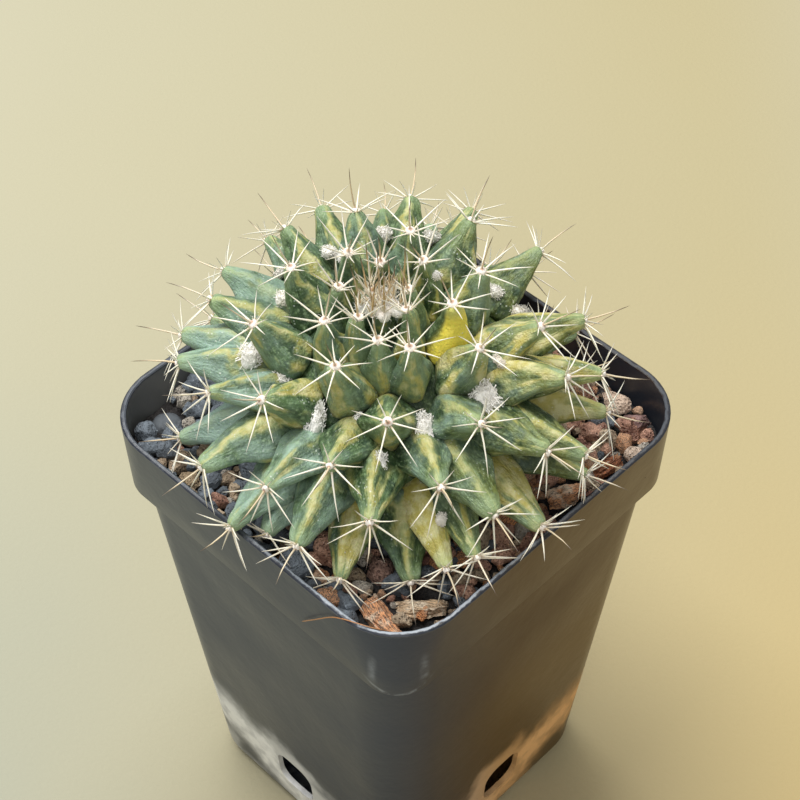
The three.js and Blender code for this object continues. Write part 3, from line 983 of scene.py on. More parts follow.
@dataclass(frozen=True)
class WaxySkin(Finish):
    """Dark green skin with cream streaks, a pale bloom and white specks; painted warm light on the
    right side and a painted sheen on the upper ridges.
    """

    deep: Color = (0.016, 0.042, 0.012)
    green: Color = (0.095, 0.165, 0.060)
    warm_lit_green: Color = (0.165, 0.185, 0.036)
    vein: Color = (0.34, 0.45, 0.26)
    bloom: Color = (0.33, 0.47, 0.385)
    lime: Color = (0.30, 0.33, 0.115)
    yellow: Color = (0.52, 0.43, 0.10)
    cream: Color = (0.68, 0.62, 0.32)
    sun: Color = (0.93, 0.78, 0.11)
    tip: Color = (0.33, 0.44, 0.23)
    scurf: Color = (0.66, 0.70, 0.64)
    warm_light_side: Span = (-0.006, 0.030)

    def wire(self, graph: Graph, where: Value) -> dict[str, object]:
        """Wire the skin. The skin attribute holds across, height and along of a tubercle.

        Args:
            graph: The material's graph.
            where: The place on the piece, in metres.

        Returns:
            What each input of the shader is fed with.
        """
        across, height, along = graph.attribute("skin")
        share, pale, phase = graph.attribute("tone")
        own = phase * 37
        flowing = graph.vector(across * 1.9 + own, height * 1.3 + own, along * 1.5 + own)
        drift = flowing.noise(1.15, 1.0)
        brushed = graph.vector(across * 5.0 + own, height * 4.5, along * 2.8)
        fine = brushed.noise(1.9, 5.0)
        blotch = where.noise(520.0, 4.0)
        grain = where.noise(1700.0)

        # A streak runs along the middle of a face, with darker flanks and a frayed edge.
        swayed = (graph.vector(own, 0.0, along * 2.2).noise(1.8, 2.0) - 0.5) * 1.4
        aside = abs(across + swayed + (fine * 0.4 + blotch * 0.7 - 0.55))
        faced = abs(height).step(0.1, 0.55) * drift.step(0.36, 0.52)
        faced = faced * share.step(0.1, 0.36)
        streak = aside.fade(0.0, 0.5) * faced
        flank = (aside.step(0.2, 0.4) - aside.step(0.45, 0.75)) * faced * 0.5
        level = 1.0 - share
        patch = (drift * 0.82 + blotch * 0.18).step(level - 0.08, level + 0.14)

        worn = blotch * 0.45 + fine * 0.3 + grain * 0.18 + along.step(0.2, 1.0) * 0.14
        x, y, _ = graph.parts(where)
        # Painted light: the green turns yellower towards the right side, for the warm light falling
        # there.
        green = graph.mix((x + y).step(*self.warm_light_side), self.green, self.warm_lit_green)
        color = graph.mix(worn.step(0.38, 0.64), self.deep, green)
        veins = (fine * 0.45 + grain * 0.55).step(0.5, 0.66)
        color = graph.mix(veins * 0.5, color, self.vein)
        # Painted sheen: the upper ridge is mixed towards the pale vein colour, for the light that
        # it catches.
        color = graph.mix(height.step(0.5, 0.95) * 0.15, color, self.vein)
        [bloomed] = graph.effect("mottle", where=where, scale=300.0, share=pale, edge=0.2)
        color = graph.mix(bloomed * pale.step(0.1, 0.9), color, self.bloom)
        color = graph.mix(flank, color, self.deep)
        color = graph.mix(height.fade(-0.7, -0.1) * 0.4, color, self.tip)

        # Yellow parts are lime at their edge. On the one bright tubercle they fade upwards.
        bright = share.step(0.75, 0.9)
        yellowed = graph.highest(streak * 0.8, patch)
        yellowed = yellowed * (1.0 - bright * height.step(0.3, 0.75))
        old = graph.mix(blotch.step(0.4, 0.62), self.yellow, self.cream)
        old = graph.mix(bright, old, self.sun)
        color = graph.mix(yellowed.step(0.0, 0.6) * 0.7, color, self.lime)
        full = graph.highest(yellowed.step(0.35, 1.0) * 0.72, bright * yellowed)
        color = graph.mix(full, color, old)
        color = graph.mix(along.step(0.74, 1.0) * 0.5, color, self.tip)
        [flecks] = graph.effect("specks", where=where, scale=1500.0, size=0.16)
        relief = where.noise(2400.0, 5.0) + where.noise(600.0) + fine
        return {
            "Base Color": graph.mix(flecks * 0.6, color, self.scurf),
            "Roughness": 0.38 + blotch * 0.25,
            "Subsurface Weight": 0.12,
            "Subsurface Radius": (0.6, 1.0, 0.3),
            "Subsurface Scale": 0.0012,
            "Normal": graph.bump(relief, 0.00035, 0.6),
        }


@dataclass(frozen=True)
class Horn(Finish):
    """Spines: pale horn with a darker root and tip. The run attribute holds the way along."""

    root: Color = (0.62, 0.47, 0.31)
    shaft: Color = (0.90, 0.86, 0.73)
    brown: Color = (0.50, 0.345, 0.15)
    point: Color = (0.045, 0.022, 0.015)

    def wire(self, graph: Graph, where: Value) -> dict[str, object]:
        """Wire the horn. The tone holds how brown a spine is, how dark its point, and how far its
        shaft is drawn to the root colour: partly weathering, partly painted shade on the spines
        furthest out.

        Args:
            graph: The material's graph.
            where: The place on the piece, in metres.

        Returns:
            What each input of the shader is fed with.
        """
        brown, dark, age_and_shade = graph.attribute("tone")
        along = graph.attribute("run")[2]
        # Partly weathering, partly painted shade: spines further out are mottled towards the root
        # colour.
        weathered_and_shaded = where.noise(900.0) * (age_and_shade * 0.9)
        shaft = graph.mix(brown, self.shaft, self.brown)
        shaft = graph.mix(weathered_and_shaded, shaft, self.root)
        color = graph.mix(along.step(0.0, 0.16), self.root, shaft)
        return {
            "Base Color": graph.mix(along.step(0.55, 0.93) * dark, color, self.point),
            "Roughness": 0.38,
            "Subsurface Weight": 0.15,
            "Subsurface Radius": (1.0, 0.8, 0.5),
            "Subsurface Scale": 0.0004,
            "Normal": graph.bump(where.noise(5200.0), 0.0001, 0.4),
        }


@dataclass(frozen=True)
class Wool(Finish):
    """White wool, cream and brown at its heart. The run attribute holds the way along."""

    heart: Color = (0.44, 0.22, 0.12)
    thread: Color = (0.95, 0.87, 0.76)
    tuft: Color = (0.95, 0.95, 0.94)
    shadow: Color = (0.52, 0.44, 0.34)

    def wire(self, graph: Graph, where: Value) -> dict[str, object]:
        """Wire the wool. The tone holds how brown its heart is and how white it is.

        Args:
            graph: The material's graph.
            where: The place on the piece, in metres.

        Returns:
            What each input of the shader is fed with.
        """
        brown, white, _ = graph.attribute("tone")
        along = graph.attribute("run")[2]
        thread = graph.mix(white, self.thread, self.tuft)
        thread = graph.mix(where.noise(1800.0) * 0.14, thread, self.shadow)
        inner = along.fade(0.2, 0.7) * brown
        return {
            "Base Color": graph.mix(inner, thread, self.heart),
            "Roughness": 0.95,
            "Sheen Weight": 0.4,
            "Normal": graph.bump(where.noise(4200.0, 4.0), 0.00015, 0.7),
        }


@dataclass(frozen=True)
class RoughStone(Finish):
    """Broken stone: two tones, pits darkened as painted shade, and worn paler grains."""

    low: Color = (0.04, 0.04, 0.045)
    high: Color = (0.12, 0.12, 0.13)
    chalk: Color = (0.35, 0.33, 0.31)
    pit_scale: float = 900.0
    depth: float = 0.0008
    darkest_pit_shade: float = 0.7

    def wire(self, graph: Graph, where: Value) -> dict[str, object]:
        """Wire the stone. The tone's first number makes one grain lighter than the next.

        Args:
            graph: The material's graph.
            where: The place on the piece, in metres.

        Returns:
            What each input of the shader is fed with.
        """
        light = graph.attribute("tone")[0]
        rough, pit_shade = graph.effect("pits", where=where, scale=self.pit_scale)
        crumbs, small_pit_shade = graph.effect("pits", where=where, scale=self.pit_scale * 3.1)
        [patches] = graph.effect("mottle", where=where, scale=420.0, share=0.5, edge=0.14)
        [dust] = graph.effect("specks", where=where, scale=2300.0, size=0.2)
        color = graph.mix((patches + light) * 0.5, self.low, self.high)
        color = graph.mix(dust * 0.6, color, self.chalk)
        # Painted shade: the pits are darkened towards the low colour, more so the deeper the
        # relief.
        hollows = graph.highest(pit_shade, small_pit_shade * 0.7)
        hollows = hollows * min(self.darkest_pit_shade, self.depth / MM)
        return {
            "Base Color": graph.mix(hollows, color, self.low),
            "Roughness": 0.7 + light * 0.2,
            "Normal": graph.bump(rough + crumbs * 0.5, self.depth, 1.0),
        }


@dataclass(frozen=True)
class Bark(Finish):
    """Orange bark: long fibres, pits darkened as painted shade, and a greyed skin."""

    dark: Color = (0.15, 0.048, 0.020)
    orange: Color = (0.96, 0.42, 0.17)
    tan: Color = (0.97, 0.84, 0.66)

    def wire(self, graph: Graph, where: Value) -> dict[str, object]:
        """Wire the bark. The run attribute holds across, height and the way along the chip.

        Args:
            graph: The material's graph.
            where: The place on the piece, in metres.

        Returns:
            What each input of the shader is fed with.
        """
        across, height, along = graph.attribute("run")
        light, grey, phase = graph.attribute("tone")
        fibre = graph.vector(across * 9.0, height * 7.0, along * 2.0 + phase * 31)
        grain = fibre.noise(1.6, 5.0)
        rough, pit_shade = graph.effect("pits", where=where, scale=1100.0)
        [worn] = graph.effect("mottle", where=where, scale=420.0, share=0.46, edge=0.08)
        color = graph.mix(grain.step(0.40, 0.58), self.dark, self.orange)
        color = graph.mix(worn * grey, color, self.tan)
        # Painted shade: the pits are darkened.
        color = graph.mix(pit_shade * 0.7, color, self.dark)
        return {
            "Base Color": graph.mix(light * 0.3, color, self.tan),
            "Roughness": 0.85,
            "Normal": graph.bump(grain * 1.2 + rough, 0.0005, 0.9),
        }


@dataclass(frozen=True)
class PotPlastic(Finish):
    """Black nursery plastic: smudges, a lip partly worn and partly painted highlight, pale deposit
    round the drain holes, and painted light: a warm reflection on the right side, a lighter inner
    wall on the left and highlights at the near corner.

    Spans and reaches are in metres, and heights with a name of their own in millimetres.
    """

    lip_height: float = 96.0
    rim_straight: float = 23.0
    rim_corner: float = 12.0
    ledge_highlight_height: float = 79.8
    ledge_highlight_bow: float = 45.0
    drain_height: float = 13.5
    warm_light_side: Span = (-0.006, 0.03)
    stain_and_reflection_heights: Span = (0.040, 0.070)
    band_heights: Span = (0.080, 0.084)
    near_corner: Span = (0.03, 0.06)
    foremost: Span = (0.052, 0.058)
    ledge_highlight_ends: Span = (0.0045, 0.0085)
    corner_highlight_aside: float = 0.0056
    ring_reach: Span = (0.006, 0.013)
    slant_at: Span = (0.0035, 0.0215)
    slant_way: Span = (0.5, 0.86)
    slant_reach: Span = (0.002, 0.0115)
    slant_heights: Span = (0.018, 0.030)
    film_heights: Span = (0.006, 0.024)
    black: Color = (0.012, 0.023, 0.046)
    smudge: Color = (0.022, 0.034, 0.060)
    # The next two colours paint the right side warm brown: a painted reflection of the warm ground,
    # with real stain in the lower one.
    warm_reflection: Color = (0.030, 0.008, 0.002)
    stain_and_warm_reflection: Color = (0.080, 0.038, 0.005)
    # Painted light: a light grey for the shaded inner wall on the left, so that it looks lit.
    inner_left_painted_light: Color = (0.150, 0.152, 0.155)
    inner_right: Color = (0.020, 0.024, 0.034)
    # Pale grey for wear on the lip and for the painted highlights.
    worn: Color = (0.36, 0.40, 0.45)
    deposit: Color = (0.88, 0.87, 0.84)
    soiled: Color = (0.80, 0.46, 0.20)
    plain_gloss: Color = (1.0, 1.0, 1.0)
    warm_gloss: Color = (1.0, 0.78, 0.46)

    def wear_and_highlights(self, graph: Graph, where: Value, fine: Value, edge: Value) -> Value:
        """Where the plastic is painted pale: the lip, partly real wear and partly painted
        highlight, strongest at the near corner; and painted highlights on the band's ledge and
        beside the near corner.

        Args:
            graph: The material's graph.
            where: The place on the pot.
            fine: Fine noise that breaks the marks up.
            edge: How near the lip's top a place is.

        Returns:
            How pale it is painted.
        """
        x, y, z = graph.parts(where)
        corner, diagonal = x + y, x - y
        straight = self.rim_straight * MM
        past = [graph.highest(abs(part) - straight, 0.0) for part in (x, y)]
        reach = graph.length(*past) - self.rim_corner * MM + (fine - 0.5) * 0.0012
        inner = reach.step(-0.00105, -0.0008) - reach.step(-0.0006, -0.0003)
        # The lip: partly real wear and partly painted highlight, much stronger at the near corner.
        lip = edge * inner * (0.14 + diagonal.step(*self.near_corner) * 0.66)
        # Painted highlights: a thin arc along the band's ledge and two short upright streaks beside
        # the near corner, for reflections of the lamp.
        foremost = diagonal.step(*self.foremost)
        bowed = corner * corner * self.ledge_highlight_bow
        off = abs(z - bowed - self.ledge_highlight_height * MM)
        ledge_highlight = off.fade(0.0, 0.0006) * foremost
        ledge_highlight = ledge_highlight * abs(corner).fade(*self.ledge_highlight_ends) * fine.step(0.35, 0.62)
        rising = z.step(0.081, 0.084) - z.step(0.086, 0.091)
        corner_highlight = abs(abs(corner) - self.corner_highlight_aside).fade(0.0, 0.0014) * rising
        corner_highlight = corner_highlight * fine.step(0.3, 0.7) * foremost
        return graph.highest(graph.highest(lip, ledge_highlight * 0.55), corner_highlight * 0.4)

    def limed(self, graph: Graph, where: Value) -> Value:
        """Where lime has dried: round the drain holes, in a slanted band and as a low film.

        Args:
            graph: The material's graph.
            where: The place on the pot.

        Returns:
            How much lime there is.
        """
        x, y, z = graph.parts(where)
        lime = where.noise(110.0, 6.0)
        loose = (lime - 0.5) * 0.02
        away = graph.length(graph.math("MINIMUM", abs(x), abs(y)), z - self.drain_height * MM)
        ring = (away + loose).fade(*self.ring_reach)
        aslant = (x - y - self.slant_at[0]) * self.slant_way[0]
        aslant = aslant + (z - self.slant_at[1]) * self.slant_way[1]
        band = abs(aslant + loose).fade(*self.slant_reach)
        band = band * z.fade(*self.slant_heights)
        band = band * (0.7 + where.noise(300.0, 5.0).step(0.36, 0.6) * 0.3)
        film = z.fade(*self.film_heights) * lime.step(0.38, 0.62)
        return graph.highest(graph.highest(ring * 0.65, band), film * 0.5)

    def wire(self, graph: Graph, where: Value) -> dict[str, object]:
        """Wire the plastic. The inside attribute marks the rows inside the pot.

        Args:
            graph: The material's graph.
            where: The place on the piece, in metres.

        Returns:
            What each input of the shader is fed with.
        """
        x, y, z = graph.parts(where)
        right = (x + y).step(*self.warm_light_side)
        fine = where.noise(620.0, 5.0)
        [smudges] = graph.effect("mottle", where=where, scale=38.0, share=0.45, edge=0.2)
        color = graph.mix(smudges * 0.6, self.black, self.smudge)
        # Painted reflection: the right side is painted warm brown for the warm ground that it
        # reflects, with real stain mixed in towards the bottom.
        stain_and_warm_reflection = graph.mix(z.step(*self.stain_and_reflection_heights), self.stain_and_warm_reflection, self.warm_reflection)
        color = graph.mix(right, color, stain_and_warm_reflection)
        lifted = z + (fine - 0.5) * 0.0012
        edge = lifted.step((self.lip_height - 0.5) * MM, (self.lip_height - 0.1) * MM)
        inside = graph.highest(graph.attribute("inside")[0], edge)
        inside = inside * z.step(*self.band_heights)
        # Painted light: the inner wall is painted light grey on the left, so that it looks lit, and
        # stays dark on the right.
        inner = graph.mix(right, self.inner_left_painted_light, self.inner_right)
        color = graph.mix(edge, graph.mix(inside, color, inner), self.inner_right)
        # Painted highlights and wear on the lip.
        color = graph.mix(self.wear_and_highlights(graph, where, fine, edge), color, self.worn)
        chalk = self.limed(graph, where)
        relief = where.noise(60.0, 2.0) * 3.0 + fine * 0.35
        return {
            "Base Color": graph.mix(chalk, color, graph.mix(right, self.deposit, self.soiled)),
            "Roughness": 0.3 + smudges * 0.1 + chalk * 0.4,
            "Specular IOR Level": 0.42,
            # Painted reflection: reflections on the right side are tinted warm as well.
            "Specular Tint": graph.mix(right, self.plain_gloss, self.warm_gloss),
            "Normal": graph.bump(relief, 0.0004, 0.35),
        }


@dataclass(frozen=True)
class PaleCloth(Finish):
    """The pale warm ground that the pot stands on, with painted light near the pot."""

    far_left: Color = (0.42, 0.395, 0.275)
    far_right: Color = (0.41, 0.352, 0.195)
    near_left: Color = (0.29, 0.325, 0.285)
    near_right: Color = (0.51, 0.362, 0.135)
    plain: Color = (0.44, 0.41, 0.30)
    aside: Span = (0.11, 0.25)
    behind: Span = (0.36, 0.58)
    before: Span = (0.03, 0.14)

    def wire(self, graph: Graph, where: Value) -> dict[str, object]:
        """Wire the ground: near the pot a slow change of tone that is painted light, cool on the
        left, warm on the right and lighter at the near right against the pot's shadow; plain
        further out, and a faint weave.

        Args:
            graph: The material's graph.
            where: The place on the piece, in metres.

        Returns:
            What each input of the shader is fed with.
        """
        x, y, _ = graph.parts(where)
        wavy = (where.noise(9.0) - 0.5) * 0.08
        right = (x + y + wavy).step(-0.2, 0.2)
        back = (y - x + wavy).step(-0.2, 0.25)
        # Painted light: the four corner tones stand in for uneven light on the ground.
        far = graph.mix(right, self.far_left, self.far_right)
        near = graph.mix(right, self.near_left, self.near_right)
        away = graph.highest(
            (y - x).step(*self.behind), abs(x + y).step(*self.aside)
        )
        away = graph.highest(away, (x - y).step(*self.before))
        return {
            "Base Color": graph.mix(away, graph.mix(back, near, far), self.plain),
            "Roughness": 0.92,
            "Normal": graph.bump(where.noise(900.0, 4.0), 0.0004, 0.3),
        }


# The plant


class Copies:
    """Copies of masters, each put in its own place, joined into one piece at the end."""

    def __init__(self, name: str) -> None:
        """Start with none."""
        self.name = name
        self.made: list[Piece] = []

    def add(self, master: Piece, points: Array, tone: Sequence[float]) -> None:
        """Add one copy.

        Args:
            master: What is copied.
            points: Its vertices' places, in millimetres.
            tone: Three numbers that its finish reads.
        """
        made = copy_of(master)
        put_points(made, points * MM)
        store_tone(made, tone)
        self.made.append(made)

    def joined(self, finish: Finish, degrees: float = 50.0) -> Piece:
        """Join them, shade them and dress them.

        Args:
            finish: What they are dressed in.
            degrees: Up to which angle between faces they are smooth.

        Returns:
            The joined piece.
        """
        piece = join(self.made, self.name)
        shade(piece, degrees)
        return finish.dress(piece)


def needle(sides: int, stations: Sequence[tuple[float, float]]) -> Piece:
    """A tapering master spine or hair, 10 units long, that knows its own way along.

    Args:
        sides: How many sides it has.
        stations: Height, from 0 to 10, and radius in millimetres.

    Returns:
        The master.
    """
    piece = drawn_out(sides, [(height, wide, wide) for height, wide in stations])
    points = points_of(piece)
    points[:, 2] /= 10
    store(piece, "run", points)
    return piece


def laid_along(
    points: Array, root: Array, end: Array, thick: float, bow: Array
) -> Array:
    """Lay a needle's points from a root to an end, bowed a little to one side.

    Args:
        points: The master's points.
        root: Where it starts.
        end: Where it ends.
        thick: What its thickness is multiplied by.
        bow: How far its middle is pushed, and which way.

    Returns:
        The points in place.
    """
    way = end - root
    axes = frame_on(way, np.array([0.3, 0.5, 0.8]))
    share = points[:, 2:3] / 10
    across = points[:, :2] * thick
    return root + across @ axes[:, :2].T + share * way + np.sin(share * math.pi) * bow


@dataclass
class CactusSkin:
    """The plant's green body: a stem, a core and one bent copy of a master for each tubercle."""

    spiral: Spiral
    tubercles: list[Tubercle]
    finish: Finish = WaxySkin("waxy_skin")
    steps: tuple[Triple, ...] = (
        (-1.3, 6.2, 5.3),
        (0.8, 6.15, 4.9),
        (2.8, 5.6, 4.3),
        (4.7, 4.4, 3.45),
        (6.5, 3.05, 2.6),
        (8.2, 2.1, 1.9),
        (9.6, 1.6, 1.45),
        (10.2, 1.0, 0.9),
    )
    core: tuple[tuple[float, float], ...] = (
        (-21.4, 11.7),
        (-11.0, 13.0),
        (-7.0, 18.5),
        (-2.5, 22.0),
        (3.0, 21.6),
        (8.0, 17.6),
        (12.0, 11.0),
        (14.0, 4.0),
    )
    young_size: float = 0.46
    least_end: float = 0.78
    keel: float = 1.12
    ridge: float = 0.11
    groove: float = 0.06
    groove_at: float = 0.75
    ridge_width: float = 0.3
    crease: float = 0.04
    waves: tuple[Span, ...] = ((2, 0.5), (3, 0.6), (5, 0.45), (7, 0.3))
    pinches: tuple[Triple, ...] = ((-2, 5, 0.68), (5, 7, 0.74), (7, 9, 0.84), (9, 11, 0.9))
    yellows: dict[int, float] = field(
        default_factory=lambda: {
            10: 0.93, 55: 0.70, 65: 0.64, 60: 0.57, 63: 0.54, 23: 0.56, 44: 0.56, 31: 0.52,
            18: 0.48, 24: 0.46, 42: 0.42, 76: 0.34, 47: 0.28, 34: 0.34, 21: 0.44, 26: 0.28,
            39: 0.42, 52: 0.40, 36: 0.50, 28: 0.24, 57: 0.5, 49: 0.46, 13: 0.42, 8: 0.40,
            16: 0.44, 11: 0.44,
            19: 0.40, 32: 0.36, 45: 0.40, 37: 0.32, 29: 0.38, 50: 0.34, 58: 0.26, 71: 0.2,
            74: 0.2, 48: 0.26, 40: 0.32, 27: 0.3, 35: 0.22, 5: 0.46, 3: 0.44, 9: 0.4,
        }
    )
    pales: dict[int, float] = field(
        default_factory=lambda: {
            48: 0.82, 74: 0.86, 32: 0.66, 45: 0.55, 40: 0.66, 58: 0.6, 50: 0.52, 37: 0.6, 43: 0.5,
            35: 0.6, 25: 0.3, 56: 0.6, 27: 0.5, 24: 0.36, 19: 0.46, 22: 0.4, 30: 0.4, 17: 0.5,
            59: 0.4, 33: 0.4, 46: 0.6, 67: 0.6, 20: 0.4, 28: 0.4, 71: 0.7, 12: 0.46, 15: 0.5,
            11: 0.46, 6: 0.46, 26: 0.5, 34: 0.5, 76: 0.44, 63: 0.4, 55: 0.3, 42: 0.34, 47: 0.42,
            52: 0.4, 39: 0.4, 73: 0.4, 29: 0.42, 13: 0.46, 8: 0.46, 16: 0.5,
        }
    )
    bulks: dict[int, float] = field(
        default_factory=lambda: {
            55: 0.82, 76: 1.12, 47: 1.16, 68: 0.9, 42: 1.08, 63: 0.95, 13: 0.92, 8: 0.92,
        }
    )

    def master(self) -> Piece:
        """One tubercle, upright, with a soft ridge above and a keel below.

        Returns:
            The master.
        """
        piece = drawn_out(8, self.steps)
        for low, high, inward in self.pinches:
            pick(piece, lambda at: low < at.z < high and min(abs(at.x), abs(at.y)) > 0.3)
            with editing(piece, whole=False):
                bpy.ops.transform.resize(value=(inward, inward, 1), center_override=ORIGIN)
        pick(piece, lambda at: at.y < -0.1)
        with editing(piece, whole=False):
            bpy.ops.transform.resize(value=(1, self.keel, 1), center_override=ORIGIN)
        apply_modifier(piece, "SUBSURF", levels=2, render_levels=2)
        points = points_of(piece)
        heights = np.array([step[0] for step in self.steps])
        wide = np.interp(points[:, 2], heights, [step[1] for step in self.steps])
        deep = np.interp(points[:, 2], heights, [step[2] for step in self.steps])
        own = np.stack([points[:, 0] / wide, points[:, 1] / deep, points[:, 2] / 10], axis=1)
        store(piece, "skin", own)
        return piece

    def creased(self, points: Array, share: Array, random: Seeded) -> Array:
        """Give a tubercle its ridge, the grooves beside it and creases that run lengthways.

        Args:
            points: The master's points.
            share: How far along each one is.
            random: Where the creases are drawn from.

        Returns:
            The creased points.
        """
        turn = np.arctan2(points[:, 1], points[:, 0])
        above = np.angle(np.exp(1j * (turn - math.pi / 2)))
        held = smooth(share, 0.05, 0.35) * (1 - smooth(share, 0.8, 1.0))
        ridge = self.ridge * np.exp(-((above / self.ridge_width) ** 2))
        beside = (abs(above) - self.groove_at) / self.ridge_width
        groove = self.groove * np.exp(-(beside**2))
        waves = np.zeros(len(points))
        for around, deep in self.waves:
            start, twist = random.next() * FULL_TURN, random.swing() * 4
            waves += deep * np.sin(turn * around + start + share * twist)
        swell = 1 + (ridge - groove) * held + self.crease * waves * (1 - smooth(share, 0.85, 1.0))
        return points * np.stack([swell, swell, np.ones(len(points))], axis=1)

    def bent(self, points: Array, tubercle: Tubercle, random: Seeded) -> Array:
        """Bend the master's points along one tubercle, each one a little its own way.

        Args:
            points: The master's points.
            tubercle: The tubercle.
            random: Where its size and its turn are drawn from.

        Returns:
            The points in place.
        """
        share = points[:, 2] / 10
        points = self.creased(points, share, Seeded(301 + tubercle.index))
        body = self.young_size + (1 - self.young_size) * tubercle.growth
        end = max(body, self.least_end)
        size = body + (end - body) * smooth(share, 0.55, 0.95)
        size = size * (0.96 + 0.1 * random.next()) * self.bulks.get(tubercle.index, 1.0)
        centre, _, upper = tubercle.stations(share)
        turn = random.swing() * 0.35 * share
        across = points[:, 0] * np.cos(turn) - points[:, 1] * np.sin(turn)
        height = points[:, 0] * np.sin(turn) + points[:, 1] * np.cos(turn)
        across, height = across * size, height * size
        placed = centre + across[:, None] * tubercle.side + height[:, None] * upper
        placed = roughened(placed, 0.45, 0.22, tubercle.index * 3.1)
        return roughened(placed, 0.1, 0.9, 50 + tubercle.index)

    def heart(self) -> Piece:
        """The stem and the core that the tubercles grow from.

        Returns:
            The core, in place.
        """
        piece = drawn_out(28, [(height, wide, wide) for height, wide in self.core])
        apply_modifier(piece, "SUBSURF", levels=1, render_levels=1)
        points = points_of(piece)
        leaning = smooth(points[:, 2], -12, -4)[:, None]
        turned = points @ self.spiral.turned.T
        points = points + (turned - points) * leaning + np.array(self.spiral.centre)
        put_points(piece, roughened(points, 0.5, 0.2, 9) * MM)
        store(piece, "skin", np.zeros((len(points), 3)))
        store_tone(piece, (0.3, 0.2, 0.5))
        return piece

    def build(self) -> None:
        """Build the skin and dress it."""
        random = Seeded(11)
        master = self.master()
        points = points_of(master)
        copies = Copies("cactus_skin")
        copies.made.append(self.heart())
        for tubercle in self.tubercles:
            placed = self.bent(points, tubercle, random)
            yellow = self.yellows.get(tubercle.index, 0.3 + 0.12 * random.next())
            pale = self.pales.get(tubercle.index, 0.32 + 0.16 * random.next())
            copies.add(master, placed, (yellow, pale, random.next()))
        report(copies.joined(self.finish, 80), "plant", "cactus")
        scrap(master)


